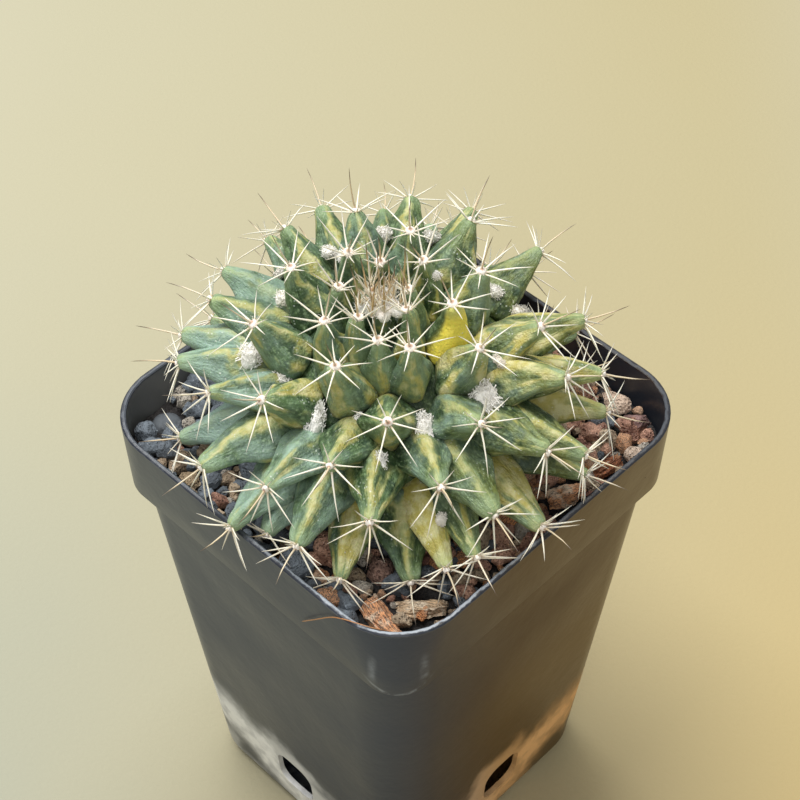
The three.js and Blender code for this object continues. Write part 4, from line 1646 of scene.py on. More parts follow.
@dataclass
class Spines:
    """Radial and central spines, set by the rule that placed the solids' own."""

    pot: PotSizes
    tubercles: list[Tubercle]
    box: tuple[Array, Array]
    finish: Finish = Horn("horn")
    around: int = 8
    long: float = 7.6
    short: float = 3.4
    central: float = 7.6
    spread_young: float = 26.0
    spread_old: float = 72.0
    young_size: float = 0.82
    scatter: float = 0.35
    collar: float = 0.55
    tries: int = 20
    raised: float = 0.12
    shortened: float = 0.03
    plain_share: float = 0.45
    crown: int = 12
    crowd: int = 7
    crown_reach: float = 3.9
    crown_sunk: float = 1.9
    crown_long: float = 7.4
    crown_short: float = 3.6
    taper: tuple[Span, ...] = (
        (0, 0.19), (0.5, 0.16), (3.0, 0.135), (6.5, 0.1), (9.0, 0.05), (10, 0.01),
    )

    def is_clear(self, root: Array, end: Array) -> bool:
        """Whether a spine keeps over the pot and the grit."""
        steps = [root + (end - root) * k / 10 for k in range(1, 11)]
        return all(point[2] >= self.pot.lowest_over(point[0], point[1]) for point in steps)

    def clear_end(
        self, root: Array, along: Array, out: Array, opened: float, length: float
    ) -> Array:
        """Where a spine ends, raised until it is clear of the pot and the grit.

        Args:
            root: Where it starts.
            along: The tubercle's direction.
            out: The side that it leans to.
            opened: How far it leans, in radians.
            length: Its length.

        Returns:
            Its end.
        """
        way = along * math.cos(opened) + out * math.sin(opened)
        end = root
        for attempt in range(self.tries):
            raised = way + UP * (attempt * self.raised)
            raised = raised / np.linalg.norm(raised)
            end = root + raised * length * (1 - attempt * self.shortened)
            if self.is_clear(root, end):
                break
        return self.within(root, end)

    def within(self, root: Array, end: Array) -> Array:
        """Draw a spine's end back until it lies inside the solids' box.

        Args:
            root: Where it starts.
            end: Where it would end.

        Returns:
            Its end.
        """
        low, high = self.box
        way = end - root
        room = np.where(way > 0, high - root, root - low) / np.maximum(abs(way), 1e-6)
        return root + way * min(1.0, float(room.min()))

    def build(self) -> None:
        """Build both kinds and dress them."""
        master = needle(6, self.taper)
        points = points_of(master)
        random, own = Seeded(29), Seeded(83)
        radials, centrals = Copies("radial_spines"), Copies("central_spines")
        for tubercle in self.tubercles:
            centre, along, upper = tubercle.station(1.0)
            grown = float(smooth(tubercle.lean, 0.1, 0.5))
            opened = math.radians(self.spread_young + (self.spread_old - self.spread_young) * grown)
            size = self.young_size + (1 - self.young_size) * grown
            # Spines further out are mottled darker: partly weathering, partly painted shade.
            outer_aged_shade = float(smooth(tubercle.lean, 0.9, 1.7))
            for k in range(self.around):
                stray = random.swing() * self.scatter
                turn = -math.pi / 2 + (k + 0.5) / self.around * 2 * math.pi + stray
                low = (1 - math.sin(turn)) / 2
                length = (self.short + (self.long - self.short) * low**0.7) * size
                length *= 0.92 + 0.16 * random.next()
                out = tubercle.side * math.cos(turn) + upper * math.sin(turn)
                root = centre + out * self.collar
                leaned = opened * (0.86 + 0.22 * own.next())
                end = self.clear_end(root, along, out, leaned, length)
                bow = along * (own.next() * 0.2) + tubercle.side * own.swing() * 0.2
                thick = (0.85 + 0.25 * low) * (0.9 + 0.2 * own.next())
                tone = (0.02 + 0.1 * own.next(), 0.1 + 0.3 * own.next(), outer_aged_shade * own.next())
                radials.add(master, laid_along(points, root, end, thick, bow), tone)
            if own.next() > self.plain_share:
                turn = math.pi / 2 + own.swing() * 1.5
                out = tubercle.side * math.cos(turn) + upper * math.sin(turn)
                root = centre + out * self.collar
                length = (3.0 + 1.4 * own.next()) * size
                end = self.clear_end(root, along, out, opened * 0.8, length)
                bow = along * (own.next() * 0.2)
                radials.add(master, laid_along(points, root, end, 0.7, bow), (0.1, 0.2, 0.3))
            lean = random.swing() * 0.5
            end = self.clear_end(centre, along, upper, lean, self.central * size)
            brown = 0.35 + 0.4 * own.next() + 0.25 * (1 - grown)
            bow = tubercle.side * own.swing() * 0.8
            placed = laid_along(points, centre, end, 1.25 - 0.2 * grown, bow)
            centrals.add(master, placed, (brown, 0.75 + 0.25 * own.next(), 0.2))
        self.add_crown(centrals, master, points, own)
        for copies in (radials, centrals):
            report(copies.joined(self.finish, 60), "plant")
        scrap(master)

    def add_crown(self, centrals: Copies, master: Piece, points: Array, own: Seeded) -> None:
        """Add the young upright spines that crowd the crown.

        Args:
            centrals: The copies that they join.
            master: The spine that is copied.
            points: Its points.
            own: Where their lengths, leans and tones are drawn from.
        """
        middle = crown_middle(self.tubercles)
        for k in range(self.crown):
            out = level_way(k * GOLDEN_TURN)
            share = math.sqrt((k + 0.3) / self.crown)
            root = middle + out * self.crown_reach * share + UP * (0.5 * share - self.crown_sunk)
            lean = out * (0.2 - 0.5 * share * own.next()) + np.array([-0.08, 0.08, 1.0])
            axes = frame_on(lean, out)
            for j in range(self.crowd):
                around = 2 * math.pi * (j + own.next()) / self.crowd
                opened = 0.1 if j == 0 else 0.3 + 0.5 * own.next()
                way = level_way(around) * math.sin(opened) + UP * math.cos(opened)
                length = self.crown_long if j == 0 else self.crown_short
                length = length * (0.75 + 0.5 * own.next())
                end = self.within(root, root + axes @ way * length)
                bow = out * (own.next() - 0.4) * 0.5
                thick = 1.25 if j == 0 else 0.7 + 0.3 * own.next()
                brown = 0.8 + 0.2 * own.next() if j == 0 else 0.75 * own.next()
                dark = 1.0 if j == 0 else 0.7 * own.next()
                centrals.add(master, laid_along(points, root, end, thick, bow), (brown, dark, 0.1))


@dataclass
class WoolParts:
    """Areole cushions, tufts of wool between the tubercles and the wool of the crown."""

    spiral: Spiral
    tubercles: list[Tubercle]
    finish: Finish = Wool("wool")
    tufts: tuple[tuple[float, float, float, float, float, float], ...] = (
        (2.0, -19.5, 108.8, 1.1, 3.4, 0.2),
        (17.9, 1.3, 110.9, 2.1, 2.5, 0.35),
        (15.2, -9.1, 109.9, 1.5, 2.5, 0.3),
        (13.7, -17.2, 108.6, 1.1, 1.4, 0.2),
        (7.2, -15.3, 110.6, 0.9, 1.2, 0.2),
        (-19.8, -6.0, 111.1, 1.2, 2.4, 0.5),
        (-15.6, -16.5, 109.0, 1.9, 2.6, 0.3),
        (-8.0, -16.7, 110.1, 1.3, 1.6, 0.4),
        (1.3, 6.7, 122.0, 0.8, 1.2, 0.3),
        (4.3, 18.2, 112.4, 1.1, 1.6, 0.4),
        (7.5, 19.8, 109.0, 1.2, 1.6, 0.5),
        (15.5, 7.1, 113.1, 0.8, 1.1, 0.8),
        (23.8, -14.4, 101.1, 0.8, 1.2, 0.5),
    )
    behind: tuple[int, ...] = (17, 22, 25, 30, 33, 41, 43, 46, 49, 51, 54, 57, 62)
    axil_at: float = 0.35
    locks: int = 9
    locks_reach: float = 3.1
    locks_sunk: float = 2.2

    def cushion(self) -> Piece:
        """A low round cushion that sits on a tip, facing +Z, 1 mm in radius.

        Returns:
            The master.
        """
        rows = ((-0.8, 0.8, 0.8), (-0.1, 1.12, 1.12), (0.45, 1.0, 1.0), (0.85, 0.5, 0.5))
        piece = drawn_out(8, rows)
        apply_modifier(piece, "SUBSURF", levels=1, render_levels=1)
        points = points_of(piece)
        reach = np.linalg.norm(points[:, :2], axis=1)
        run = np.stack([points[:, 0], points[:, 1], np.clip(reach, 0, 1)], axis=1)
        store(piece, "run", run)
        return piece

    def clump(
        self, name: str, strands: Sequence[tuple[Array, Array]], seed: int
    ) -> Piece:
        """A clump of curled hairs.

        Args:
            name: The clump's name.
            strands: Each hair's root and the way that it runs.
            seed: The seed of their curls.

        Returns:
            The clump, in millimetres.
        """
        random = Seeded(seed)
        hair = needle(3, ((0, 0.05), (5, 0.042), (10, 0.012)))
        points = points_of(hair)
        made = []
        for root, way in strands:
            bow = random.toss() * 0.6
            strand = copy_of(hair)
            put_points(strand, laid_along(points, root, root + way, 1.0, bow))
            made.append(strand)
        piece = join(made, name)
        scrap(hair)
        return piece

    def brush(self, name: str, count: int, wide: float, high: float, seed: int) -> Piece:
        """Hairs that stand up from a disc of radius 1 and lean outward.

        Args:
            name: The clump's name.
            count: How many hairs it has.
            wide: How far they lean outward.
            high: How long they are.
            seed: The seed of their scatter.

        Returns:
            The clump.
        """
        random = Seeded(seed)
        strands = []
        for k in range(count):
            out = level_way(k * GOLDEN_TURN)
            share = math.sqrt((k + 0.5) / count)
            root = out * share * 0.85 + UP * (0.3 * (1 - share))
            way = out * wide * share * (0.6 + 0.8 * random.next())
            way = way + np.array([random.swing(), random.swing(), 0]) * 0.9
            strands.append((root, way + UP * (high * (0.55 + 0.6 * random.next()))))
        return self.clump(name, strands, seed)

    def fleece(self, name: str, count: int, seed: int) -> Piece:
        """Hairs that lie over a ball of radius 1, mostly along its X axis, as in a lock of wool.

        Args:
            name: The clump's name.
            count: How many hairs it has.
            seed: The seed of their scatter.

        Returns:
            The clump.
        """
        random = Seeded(seed)
        strands = []
        for k in range(count):
            high = 1 - 1.8 * (k + 0.5) / count
            normal = level_way(k * GOLDEN_TURN) * math.sqrt(1 - high * high) + UP * high
            loose = random.toss()
            combed = np.array([1.0, 0.0, 0.0]) * (1 if normal[0] > -0.2 else -0.6)
            way = combed * 0.5 + loose * 1.3 + normal * 0.3 * random.next()
            way = way - normal * (way @ normal) * (0.85 if way @ normal < 0 else 0.3)
            strands.append((normal * 0.91, way * (0.3 + 0.32 * random.next())))
        return self.clump(name, strands, seed)

    def ball(self) -> Piece:
        """A round lock, 1 mm in radius, that the fleece lies on.

        Returns:
            The master.
        """
        rows = ((-0.9, 0.5), (-0.5, 1.0), (0.1, 1.2), (0.65, 0.95), (0.98, 0.45))
        piece = drawn_out(10, [(height, wide, wide) for height, wide in rows])
        apply_modifier(piece, "SUBSURF", levels=2, render_levels=2)
        points = points_of(piece)
        store(piece, "run", points * (1 - UP) + UP * 0.7)
        return piece

    def facing(
        self, points: Array, at: Array, along: Array, size: Sequence[float]
    ) -> Array:
        """Place a master so that its +Z looks along a direction and its +X down the slope."""
        axes = frame_on(along, np.array([0.02, 0.03, -1.0]))
        return at + (points * np.array(size)) @ axes.T

    def areoles(self) -> None:
        """A cushion and short hairs on every tubercle's tip."""
        random = Seeded(53)
        heart, hairs = self.cushion(), self.brush("areole_hairs", 16, 0.9, 0.45, 17)
        heart_points, hair_points = points_of(heart), points_of(hairs)
        copies = Copies("areoles")
        for tubercle in self.tubercles:
            tip, along, _ = tubercle.station(1.0)
            wide = 0.88 - 0.28 * float(smooth(tubercle.lean, 0.25, 1.25))
            wide *= 0.92 + 0.16 * random.next()
            tone = (0.85, 0.15 + 0.2 * random.next(), random.next())
            at = tip + along * 0.15
            placed = self.facing(heart_points, at, along, (wide, wide, 0.7))
            copies.add(heart, roughened(placed, 0.16, 1.3, tubercle.index), tone)
            placed = self.facing(hair_points, at + along * 0.2, along, (wide, wide, wide * 0.8))
            copies.add(hairs, placed, (0.5, tone[1], tone[2]))
        report(copies.joined(self.finish, 70), "plant")
        scrap(heart, hairs)

    def axils(self) -> None:
        """White tufts in the hollows between the tubercles."""
        random = Seeded(67)
        heart, hairs = self.ball(), self.fleece("tuft_hairs", 420, 29)
        heart_points, hair_points = points_of(heart), points_of(hairs)
        copies = Copies("axil_wool")
        middle = np.array(self.spiral.centre)
        places = [(np.array(row[:3]), row[3], row[4], row[5]) for row in self.tufts]
        for tubercle in self.tubercles:
            index = tubercle.index
            if index not in self.behind:
                continue
            centre, _, upper = tubercle.station(self.axil_at)
            at = centre + tubercle.side * 3.4 * (1 if index % 2 else -1) + upper * 2.2
            places.append((at, 0.9 + 0.6 * random.next(), 1.2 + 1.2 * random.next(), 0.4))
        for at, wide, long, cream in places:
            along = (at - middle) * np.array([1, 1, 1.6])
            along = along / np.linalg.norm(along)
            tone = (0.0, 1.0 - cream, random.next())
            size = (long * 0.87, wide * 0.87, wide * 0.83)
            placed = self.facing(heart_points, at, along, size)
            copies.add(heart, roughened(placed, 0.25, 0.6, long * 7), tone)
            placed = self.facing(hair_points, at, along, (long, wide, wide * 0.95))
            copies.add(hairs, roughened(placed, 0.25, 0.6, long * 7), tone)
        report(copies.joined(self.finish, 70), "plant")
        scrap(heart, hairs)

    def crown(self) -> None:
        """Cream wool that fills the crown among its young spines."""
        random = Seeded(31)
        heart, hairs = self.cushion(), self.brush("crown_hairs", 48, 0.7, 1.0, 41)
        heart_points, hair_points = points_of(heart), points_of(hairs)
        copies = Copies("crown_wool")
        middle = crown_middle(self.tubercles)
        for k in range(self.locks):
            out = level_way(k * GOLDEN_TURN)
            reach = self.locks_reach * math.sqrt(k / self.locks)
            at = middle + out * reach - UP * self.locks_sunk
            along = UP + out * 0.25
            wide = 0.85 + 0.35 * random.next()
            tone = (0.1, 0.3 + 0.6 * random.next(), random.next())
            placed = self.facing(heart_points, at, along, (wide * 1.2, wide * 1.2, 1.2))
            copies.add(heart, roughened(placed, 0.4, 0.8, k), tone)
            placed = self.facing(hair_points, at, along, (wide * 1.1, wide * 1.1, 1.3))
            copies.add(hairs, roughened(placed, 0.5, 0.7, k + 5), tone)
        report(copies.joined(self.finish, 70), "plant")
        scrap(heart, hairs)

    def build(self) -> None:
        """Build all the wool."""
        self.areoles()
        self.axils()
        self.crown()


# The grit


def facetted(points: Array, cuts: int, depth: float, random: Seeded) -> Array:
    """Press flat facets into a round lump of radius 1.

    Args:
        points: The lump's points.
        cuts: How many facets.
        depth: How near the middle the deepest one lies.
        random: Where the facets are drawn from.

    Returns:
        The points with their facets.
    """
    for _ in range(cuts):
        normal = random.toss()
        normal = normal / np.linalg.norm(normal)
        level = depth + (1 - depth) * random.next() * 0.8
        over = np.maximum(points @ normal - level, 0)
        points = points - over[:, None] * normal * 0.93
    return points


class GrainKind(Enum):
    """The kinds of grain, each with its finish and how large its grains run."""

    # Charcoal is dark grey stone; its bluish cast is painted cool light, as it lies mostly on the
    # left.
    CHARCOAL = (
        RoughStone(
            "charcoal", (0.060, 0.070, 0.082), (0.17, 0.20, 0.235), (0.46, 0.50, 0.55), depth=0.0004
        ),
        1.15,
    )
    LAVA = (
        RoughStone("lava", (0.17, 0.070, 0.050), (0.74, 0.43, 0.30), (0.84, 0.70, 0.58)), 1.15
    )
    BARK = (Bark("bark_crumb"), 0.95)
    PUMICE = (
        RoughStone("pumice", (0.30, 0.27, 0.23), (0.58, 0.52, 0.44), (0.75, 0.72, 0.66)), 0.85
    )
    TAN = (
        RoughStone("tan_crumb", (0.20, 0.14, 0.09), (0.63, 0.49, 0.34), (0.82, 0.70, 0.54)), 0.85
    )

    @property
    def finish(self) -> Finish:
        """What it is dressed in."""
        return self.value[0]

    @property
    def size(self) -> float:
        """How large its grains run."""
        return self.value[1]


@dataclass
class Grit:
    """The grit that fills the pot: a rough bed and loose grains of five kinds."""

    pot: PotSizes
    loose: list[tuple[Array, Array]]
    # Painted shade: the bed is kept near black, for the shade deep in the gaps between the grains.
    bed_shade_finish: Finish = RoughStone(
        "grit_bed", (0.014, 0.012, 0.012), (0.050, 0.044, 0.042), (0.16, 0.14, 0.12)
    )
    bed_cells: int = 90
    bed_gap: float = 0.25
    bed_thick: float = 2.4
    stem: float = 14.5
    small: int = 900
    large: int = 420
    top: float = 92.6
    heap: float = 1.3
    shapes: int = 8
    finer_over: float = 1.6
    tries: int = 12
    left_end: float = -26.0
    right_start: float = 22.0
    large_radius: Span = (1.35, 1.5)
    small_radius: Span = (0.55, 0.6)
    large_apart: float = 0.8
    small_apart: float = 0.62
    shares: tuple[tuple[float, ...], ...] = (
        (0.76, 0.04, 0.00, 0.07, 0.13),
        (0.05, 0.45, 0.28, 0.09, 0.13),
        (0.28, 0.26, 0.21, 0.08, 0.17),
        (0.44, 0.24, 0.12, 0.08, 0.12),
    )
    known: tuple[tuple[str, float, float, float], ...] = (
        ("TAN", 26.6, -25.8, 1.35),
        ("BARK", 27.6, -22.6, 1.35),
        ("CHARCOAL", 18.3, -29.4, 1.9),
        ("TAN", 15.6, -25.0, 1.5),
        ("PUMICE", 17.8, -25.6, 1.5),
        ("LAVA", 30.0, -15.4, 1.6),
        ("BARK", 25.4, -10.2, 1.7),
        ("LAVA", 29.2, -6.0, 1.7),
        ("CHARCOAL", -29.4, -29.2, 1.7),
        ("CHARCOAL", -26.0, -30.8, 1.9),
        ("CHARCOAL", -31.0, -14.6, 2.6),
        ("PUMICE", -32.0, -19.0, 1.2),
        ("LAVA", -9.9, -29.8, 1.5),
        ("TAN", 25.6, 23.3, 1.7),
        ("LAVA", 27.0, 27.6, 2.1),
        ("LAVA", 31.0, 3.0, 1.9),
    )

    def bed(self) -> None:
        """The bed: a crumbly sheet with thickness, fitted to the pot's inside, near black as
        painted shade between the grains.
        """
        cells = self.bed_cells
        grid = bpy.ops.mesh.primitive_grid_add
        piece = started(grid, x_subdivisions=cells, y_subdivisions=cells, size=2)
        points = points_of(piece)
        half, corner = self.pot.band_at(self.pot.soil_level)
        inside = half - self.pot.wall - self.bed_gap
        square = np.maximum(abs(points[:, 0]), abs(points[:, 1]))
        angle = np.arctan2(points[:, 1], points[:, 0])
        reach = square_reach(inside, corner - self.pot.wall, angle) * square
        points = np.stack([np.cos(angle) * reach, np.sin(angle) * reach, points[:, 2]], axis=1)
        points[:, 2] = self.pot.soil_level - 0.5
        moved = roughened(roughened(points, 0.7, 0.35, 4), 0.35, 1.1, 8)
        points[:, 2] = moved[:, 2]
        put_points(piece, points * MM)
        apply_modifier(piece, "SOLIDIFY", thickness=self.bed_thick * MM, offset=-1.0)
        store_tone(piece, (0.3, 0.3, 0.3))
        shade(piece, 40)
        report(named(self.bed_shade_finish.dress(piece), "grit_bed"), "grit", "soil")

    def masters(self, level: int) -> list[Piece]:
        """Eight broken grains of radius 1.

        Args:
            level: How finely each is divided; large grains are finer.

        Returns:
            The grains.
        """
        made = []
        random = Seeded(97 + level)
        for k in range(self.shapes):
            ball = bpy.ops.mesh.primitive_ico_sphere_add
            piece = started(ball, subdivisions=level, radius=1.0)
            points = facetted(points_of(piece) * 1.12, 6, 0.6, random)
            points = points * np.array([1.15, 0.95, 0.78 + 0.2 * random.next()])
            points = roughened(points, 0.2, 1.7, k * 5.0)
            points = roughened(points, 0.1 if level > 2 else 0.05, 4.4, k * 7.0)
            put_points(piece, points)
            store(piece, "run", points)
            made.append(piece)
        return made

    def on_loose(self, x: float, y: float, radius: float) -> bool:
        """Whether a grain would lie on one of the larger loose pieces.

        Args:
            x: How far right it is.
            y: How far back it is.
            radius: Its radius.

        Returns:
            Whether it would.
        """
        for low, high in self.loose:
            aside = max(low[0] - x, x - high[0], 0), max(low[1] - y, y - high[1], 0)
            if math.hypot(*aside) < radius * 0.55:
                return True
        return False

    def room_at(self, half: float, x: float, y: float) -> float:
        """How far the pot's inside reaches from its middle, towards a place."""
        angle = np.array([math.atan2(y, x)])
        return float(square_reach(half, 10.0, angle)[0])

    def kept_in(self, points: Array) -> Array:
        """Draw points back until they lie inside the pot's wall.

        Args:
            points: The points.

        Returns:
            The points, drawn back.
        """
        half, corner = self.pot.band_at(self.pot.soil_level)
        angle = np.arctan2(points[:, 1], points[:, 0])
        reach = np.linalg.norm(points[:, :2], axis=1)
        held = square_reach(half - self.pot.wall - 0.1, corner - self.pot.wall, angle)
        held = np.minimum(held / np.maximum(reach, 1e-6), 1.0)
        return points * np.stack([held, held, np.ones(len(points))], axis=1)

    def kind_at(self, x: float, y: float, draw: float) -> GrainKind:
        """Which kind a grain is, by the part of the pot that it lies in.

        Args:
            x: How far right it is.
            y: How far back it is.
            draw: A random number between 0 and 1.

        Returns:
            Its kind.
        """
        if x + y < self.left_end:
            row = self.shares[0]
        elif x + y > self.right_start:
            row = self.shares[1]
        else:
            row = self.shares[2] if x > 0 and y < 0 else self.shares[3]
        for kind, share in zip(GrainKind, row):
            draw -= share
            if draw <= 0:
                return kind
        return GrainKind.TAN

    def lay(
        self,
        heaps: dict[GrainKind, Copies],
        masters: list[Piece],
        shapes: list[Array],
        kind: GrainKind,
        place: Triple,
        random: Seeded,
    ) -> None:
        """Lay one grain, half sunk in the bed and turned at random.

        Args:
            heaps: The copies of each kind.
            masters: The grains that are copied.
            shapes: The points of each.
            kind: Which kind it is.
            place: Where it lies, and its radius.
            random: Where its turn is drawn from.
        """
        x, y, radius = place
        turn = np.array(
            Matrix.Rotation(random.next() * FULL_TURN, 3, "Z")
            @ Matrix.Rotation(random.swing() * 1.4, 3, "X")
            @ Matrix.Rotation(random.swing() * 1.4, 3, "Y")
        )
        chosen = int(random.next() * self.shapes) % self.shapes
        chosen += self.shapes if radius > self.finer_over else 0
        points = (shapes[chosen] * radius) @ turn.T
        high = self.pot.soil_level + radius * (0.25 + 0.3 * random.next())
        high += self.heap * float(smooth(-x - y, 30, 46)) * min(1.0, radius / 2)
        high = min(high, self.top - points[:, 2].max())
        tone = (random.next(), 0.5 * random.next(), random.next())
        heaps[kind].add(masters[chosen], self.kept_in(points + np.array([x, y, high])), tone)

    def build(self) -> None:
        """Build the bed and scatter the grains."""
        self.bed()
        masters = self.masters(2) + self.masters(3)
        shapes = [points_of(master) for master in masters]
        heaps = {kind: Copies(f"grit_{kind.name.lower()}") for kind in GrainKind}
        random = Seeded(self.large)
        placed: list[Triple] = []
        half = self.pot.band_at(self.pot.soil_level)[0] - self.pot.wall
        for name, x, y, radius in self.known:
            kept = min(1.0, (self.room_at(half, x, y) - radius * 1.05) / math.hypot(x, y))
            placed.append((x * kept, y * kept, radius))
            self.lay(heaps, masters, shapes, GrainKind[name], placed[-1], random)
        for k in range(self.large + self.small):
            big = k < self.large
            least, spread = self.large_radius if big else self.small_radius
            apart = self.large_apart if big else self.small_apart
            for _ in range(self.tries):
                x = (random.next() * 2 - 1) * half
                y = (random.next() * 2 - 1) * half
                kind = self.kind_at(x, y, random.next())
                radius = least + spread * random.next() ** (2 if big else 1)
                radius *= kind.size
                reach = math.hypot(x, y)
                room = self.room_at(half, x, y) - radius * 0.95
                near = any(
                    math.hypot(x - px, y - py) < (radius + pr) * apart
                    for px, py, pr in placed
                )
                if self.stem < reach < room and not near and not self.on_loose(x, y, radius):
                    placed.append((x, y, radius))
                    self.lay(heaps, masters, shapes, kind, placed[-1], random)
                    break
        for kind, heap in heaps.items():
            report(heap.joined(kind.finish, 32), "grit")
        scrap(*masters)


class Form(Enum):
    """How a loose piece is shaped."""

    LUMP = "lump"
    PEBBLE = "pebble"
    CHIP = "chip"


@dataclass(frozen=True)
class LoosePiece:
    """One larger stone or chip of bark that lies on the grit, in place of its solid."""

    node: str
    slot: str
    form: Form
    size: Triple
    turn: float
    finish: Finish
    seed: int
    tilt: float = 0.0

    def lump(self) -> Piece:
        """A stone: a sphere with facets pressed in, worn and pitted.

        Returns:
            The stone.
        """
        piece = started(bpy.ops.mesh.primitive_ico_sphere_add, subdivisions=5, radius=1.0)
        worn = self.form is Form.PEBBLE
        radius, cuts, depth = (1.02, 4, 0.9) if worn else (1.12, 11, 0.6)
        amounts = (0.07, 0.012, 0.0) if worn else (0.12, 0.07, 0.035)
        points = facetted(points_of(piece) * radius, cuts, depth, Seeded(self.seed))
        for amount, scale, shift in zip(amounts, (1.3, 4.5, 12.0), (0, 3, 7)):
            points = roughened(points, amount, scale, self.seed + shift)
        store(piece, "run", points)
        put_points(piece, points * np.array(self.size) / 2)
        return piece

    def chip(self) -> Piece:
        """A chip: a slab with torn ends, split along its fibres.

        Returns:
            The chip.
        """
        piece = started(bpy.ops.mesh.primitive_cube_add, size=2)
        with editing(piece):
            bpy.ops.mesh.subdivide(number_cuts=17)
        share = points_of(piece)
        fibre = [Vector((p[0] * 0.5, p[1] * 3.2, p[2] * 2.2 + self.seed)) for p in share]
        split = np.array([noise.noise(place) for place in fibre])
        ends = np.array([noise.noise(Vector((self.seed, p[1] * 2.6, p[2] * 1.6))) for p in share])
        points = share * np.array(self.size) / 2
        round_off = 1 - 0.22 * smooth(abs(share[:, 1]), 0.5, 1) * smooth(abs(share[:, 2]), 0.3, 1)
        taper = 1 - 0.3 * smooth(share[:, 0], 0.0, 1) - 0.12 * smooth(-share[:, 0], 0.3, 1)
        points[:, 1] *= taper * round_off
        points[:, 2] *= round_off * (1 + split * 0.45)
        points[:, 1] *= 1 + split * 0.28
        points[:, 0] += ends * abs(share[:, 0]) * self.size[0] * 0.14
        points = roughened(points, 0.35, 0.8, self.seed)
        points = roughened(points, 0.16, 2.6, self.seed + 2)
        put_points(piece, points)
        run = np.stack([share[:, 1], share[:, 2], share[:, 0]], axis=1)
        store(piece, "run", run)
        return piece

    def build(self) -> None:
        """Build it where its solid lies."""
        piece = self.chip() if self.form is Form.CHIP else self.lump()
        low, high = (np.array(corner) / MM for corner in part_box(self.node))
        turn = np.array(
            Matrix.Rotation(math.radians(self.turn), 3, "Z")
            @ Matrix.Rotation(math.radians(self.tilt), 3, "Y")
        )
        points = points_of(piece) @ turn.T
        middle = (points.min(axis=0) + points.max(axis=0)) / 2
        put_points(piece, (points - middle + (low + high) / 2) * MM)
        store_tone(piece, (0.4, 0.6, self.seed * 0.13 % 1))
        shade(piece, 35 if self.form is Form.CHIP else 28)
        named(self.finish.dress(piece), f"{self.node}_detail")
        report(piece, self.slot, self.node)


LAVA_RED = RoughStone(
    "lava_lump", (0.09, 0.045, 0.034), (0.42, 0.26, 0.20), (0.70, 0.58, 0.48), 700.0
)
MAUVE = RoughStone("mauve_stone", (0.12, 0.065, 0.060), (0.36, 0.22, 0.20), (0.6, 0.5, 0.44), 600.0)
GREY = RoughStone(
    "grey_stone", (0.055, 0.062, 0.072), (0.115, 0.13, 0.145), (0.4, 0.42, 0.43), 500.0, 0.00015
)
CREAM = RoughStone("cream_stone", (0.42, 0.30, 0.22), (0.82, 0.66, 0.53), (0.90, 0.84, 0.76), 500.0)
TAN = RoughStone("tan_stone", (0.20, 0.14, 0.08), (0.44, 0.33, 0.21), (0.62, 0.54, 0.42), 600.0)
BARK = Bark("bark_chip")
RED_BARK = Bark("red_bark", (0.11, 0.035, 0.018), (0.50, 0.16, 0.07), (0.60, 0.34, 0.18))
TAN_BARK = Bark("tan_bark", (0.24, 0.14, 0.07), (0.88, 0.62, 0.38), (0.92, 0.82, 0.66))

LOOSE_PIECES = (
    LoosePiece("bark_chip", "bark", Form.CHIP, (8.4, 3.7, 2.3), -13, BARK, 3, 4),
    LoosePiece("tan_chip", "tan_stone", Form.CHIP, (6.9, 2.8, 2.4), 50, TAN_BARK, 5),
    LoosePiece("lava_lump", "lava", Form.LUMP, (5.3, 4.0, 3.6), -45, LAVA_RED, 7),
    LoosePiece("grey_pebble", "grey_stone", Form.PEBBLE, (5.5, 5.2, 4.4), 20, GREY, 11),
    LoosePiece("beige_lump", "tan_stone", Form.LUMP, (3.6, 3.2, 2.8), 35, TAN, 13),
    LoosePiece("cream_chunk", "cream_stone", Form.LUMP, (5.3, 4.4, 4.0), 10, CREAM, 17),
    LoosePiece("mauve_lump", "lava", Form.LUMP, (5.1, 3.7, 3.4), 60, MAUVE, 19),
    LoosePiece("cream_pebble", "cream_stone", Form.PEBBLE, (3.4, 3.0, 2.8), 0, CREAM, 23),
    LoosePiece("red_chip", "bark", Form.CHIP, (4.8, 2.5, 2.0), 80, RED_BARK, 29),
    LoosePiece("orange_chip", "bark", Form.CHIP, (5.6, 3.2, 2.2), 65, BARK, 31),
)


# The pot


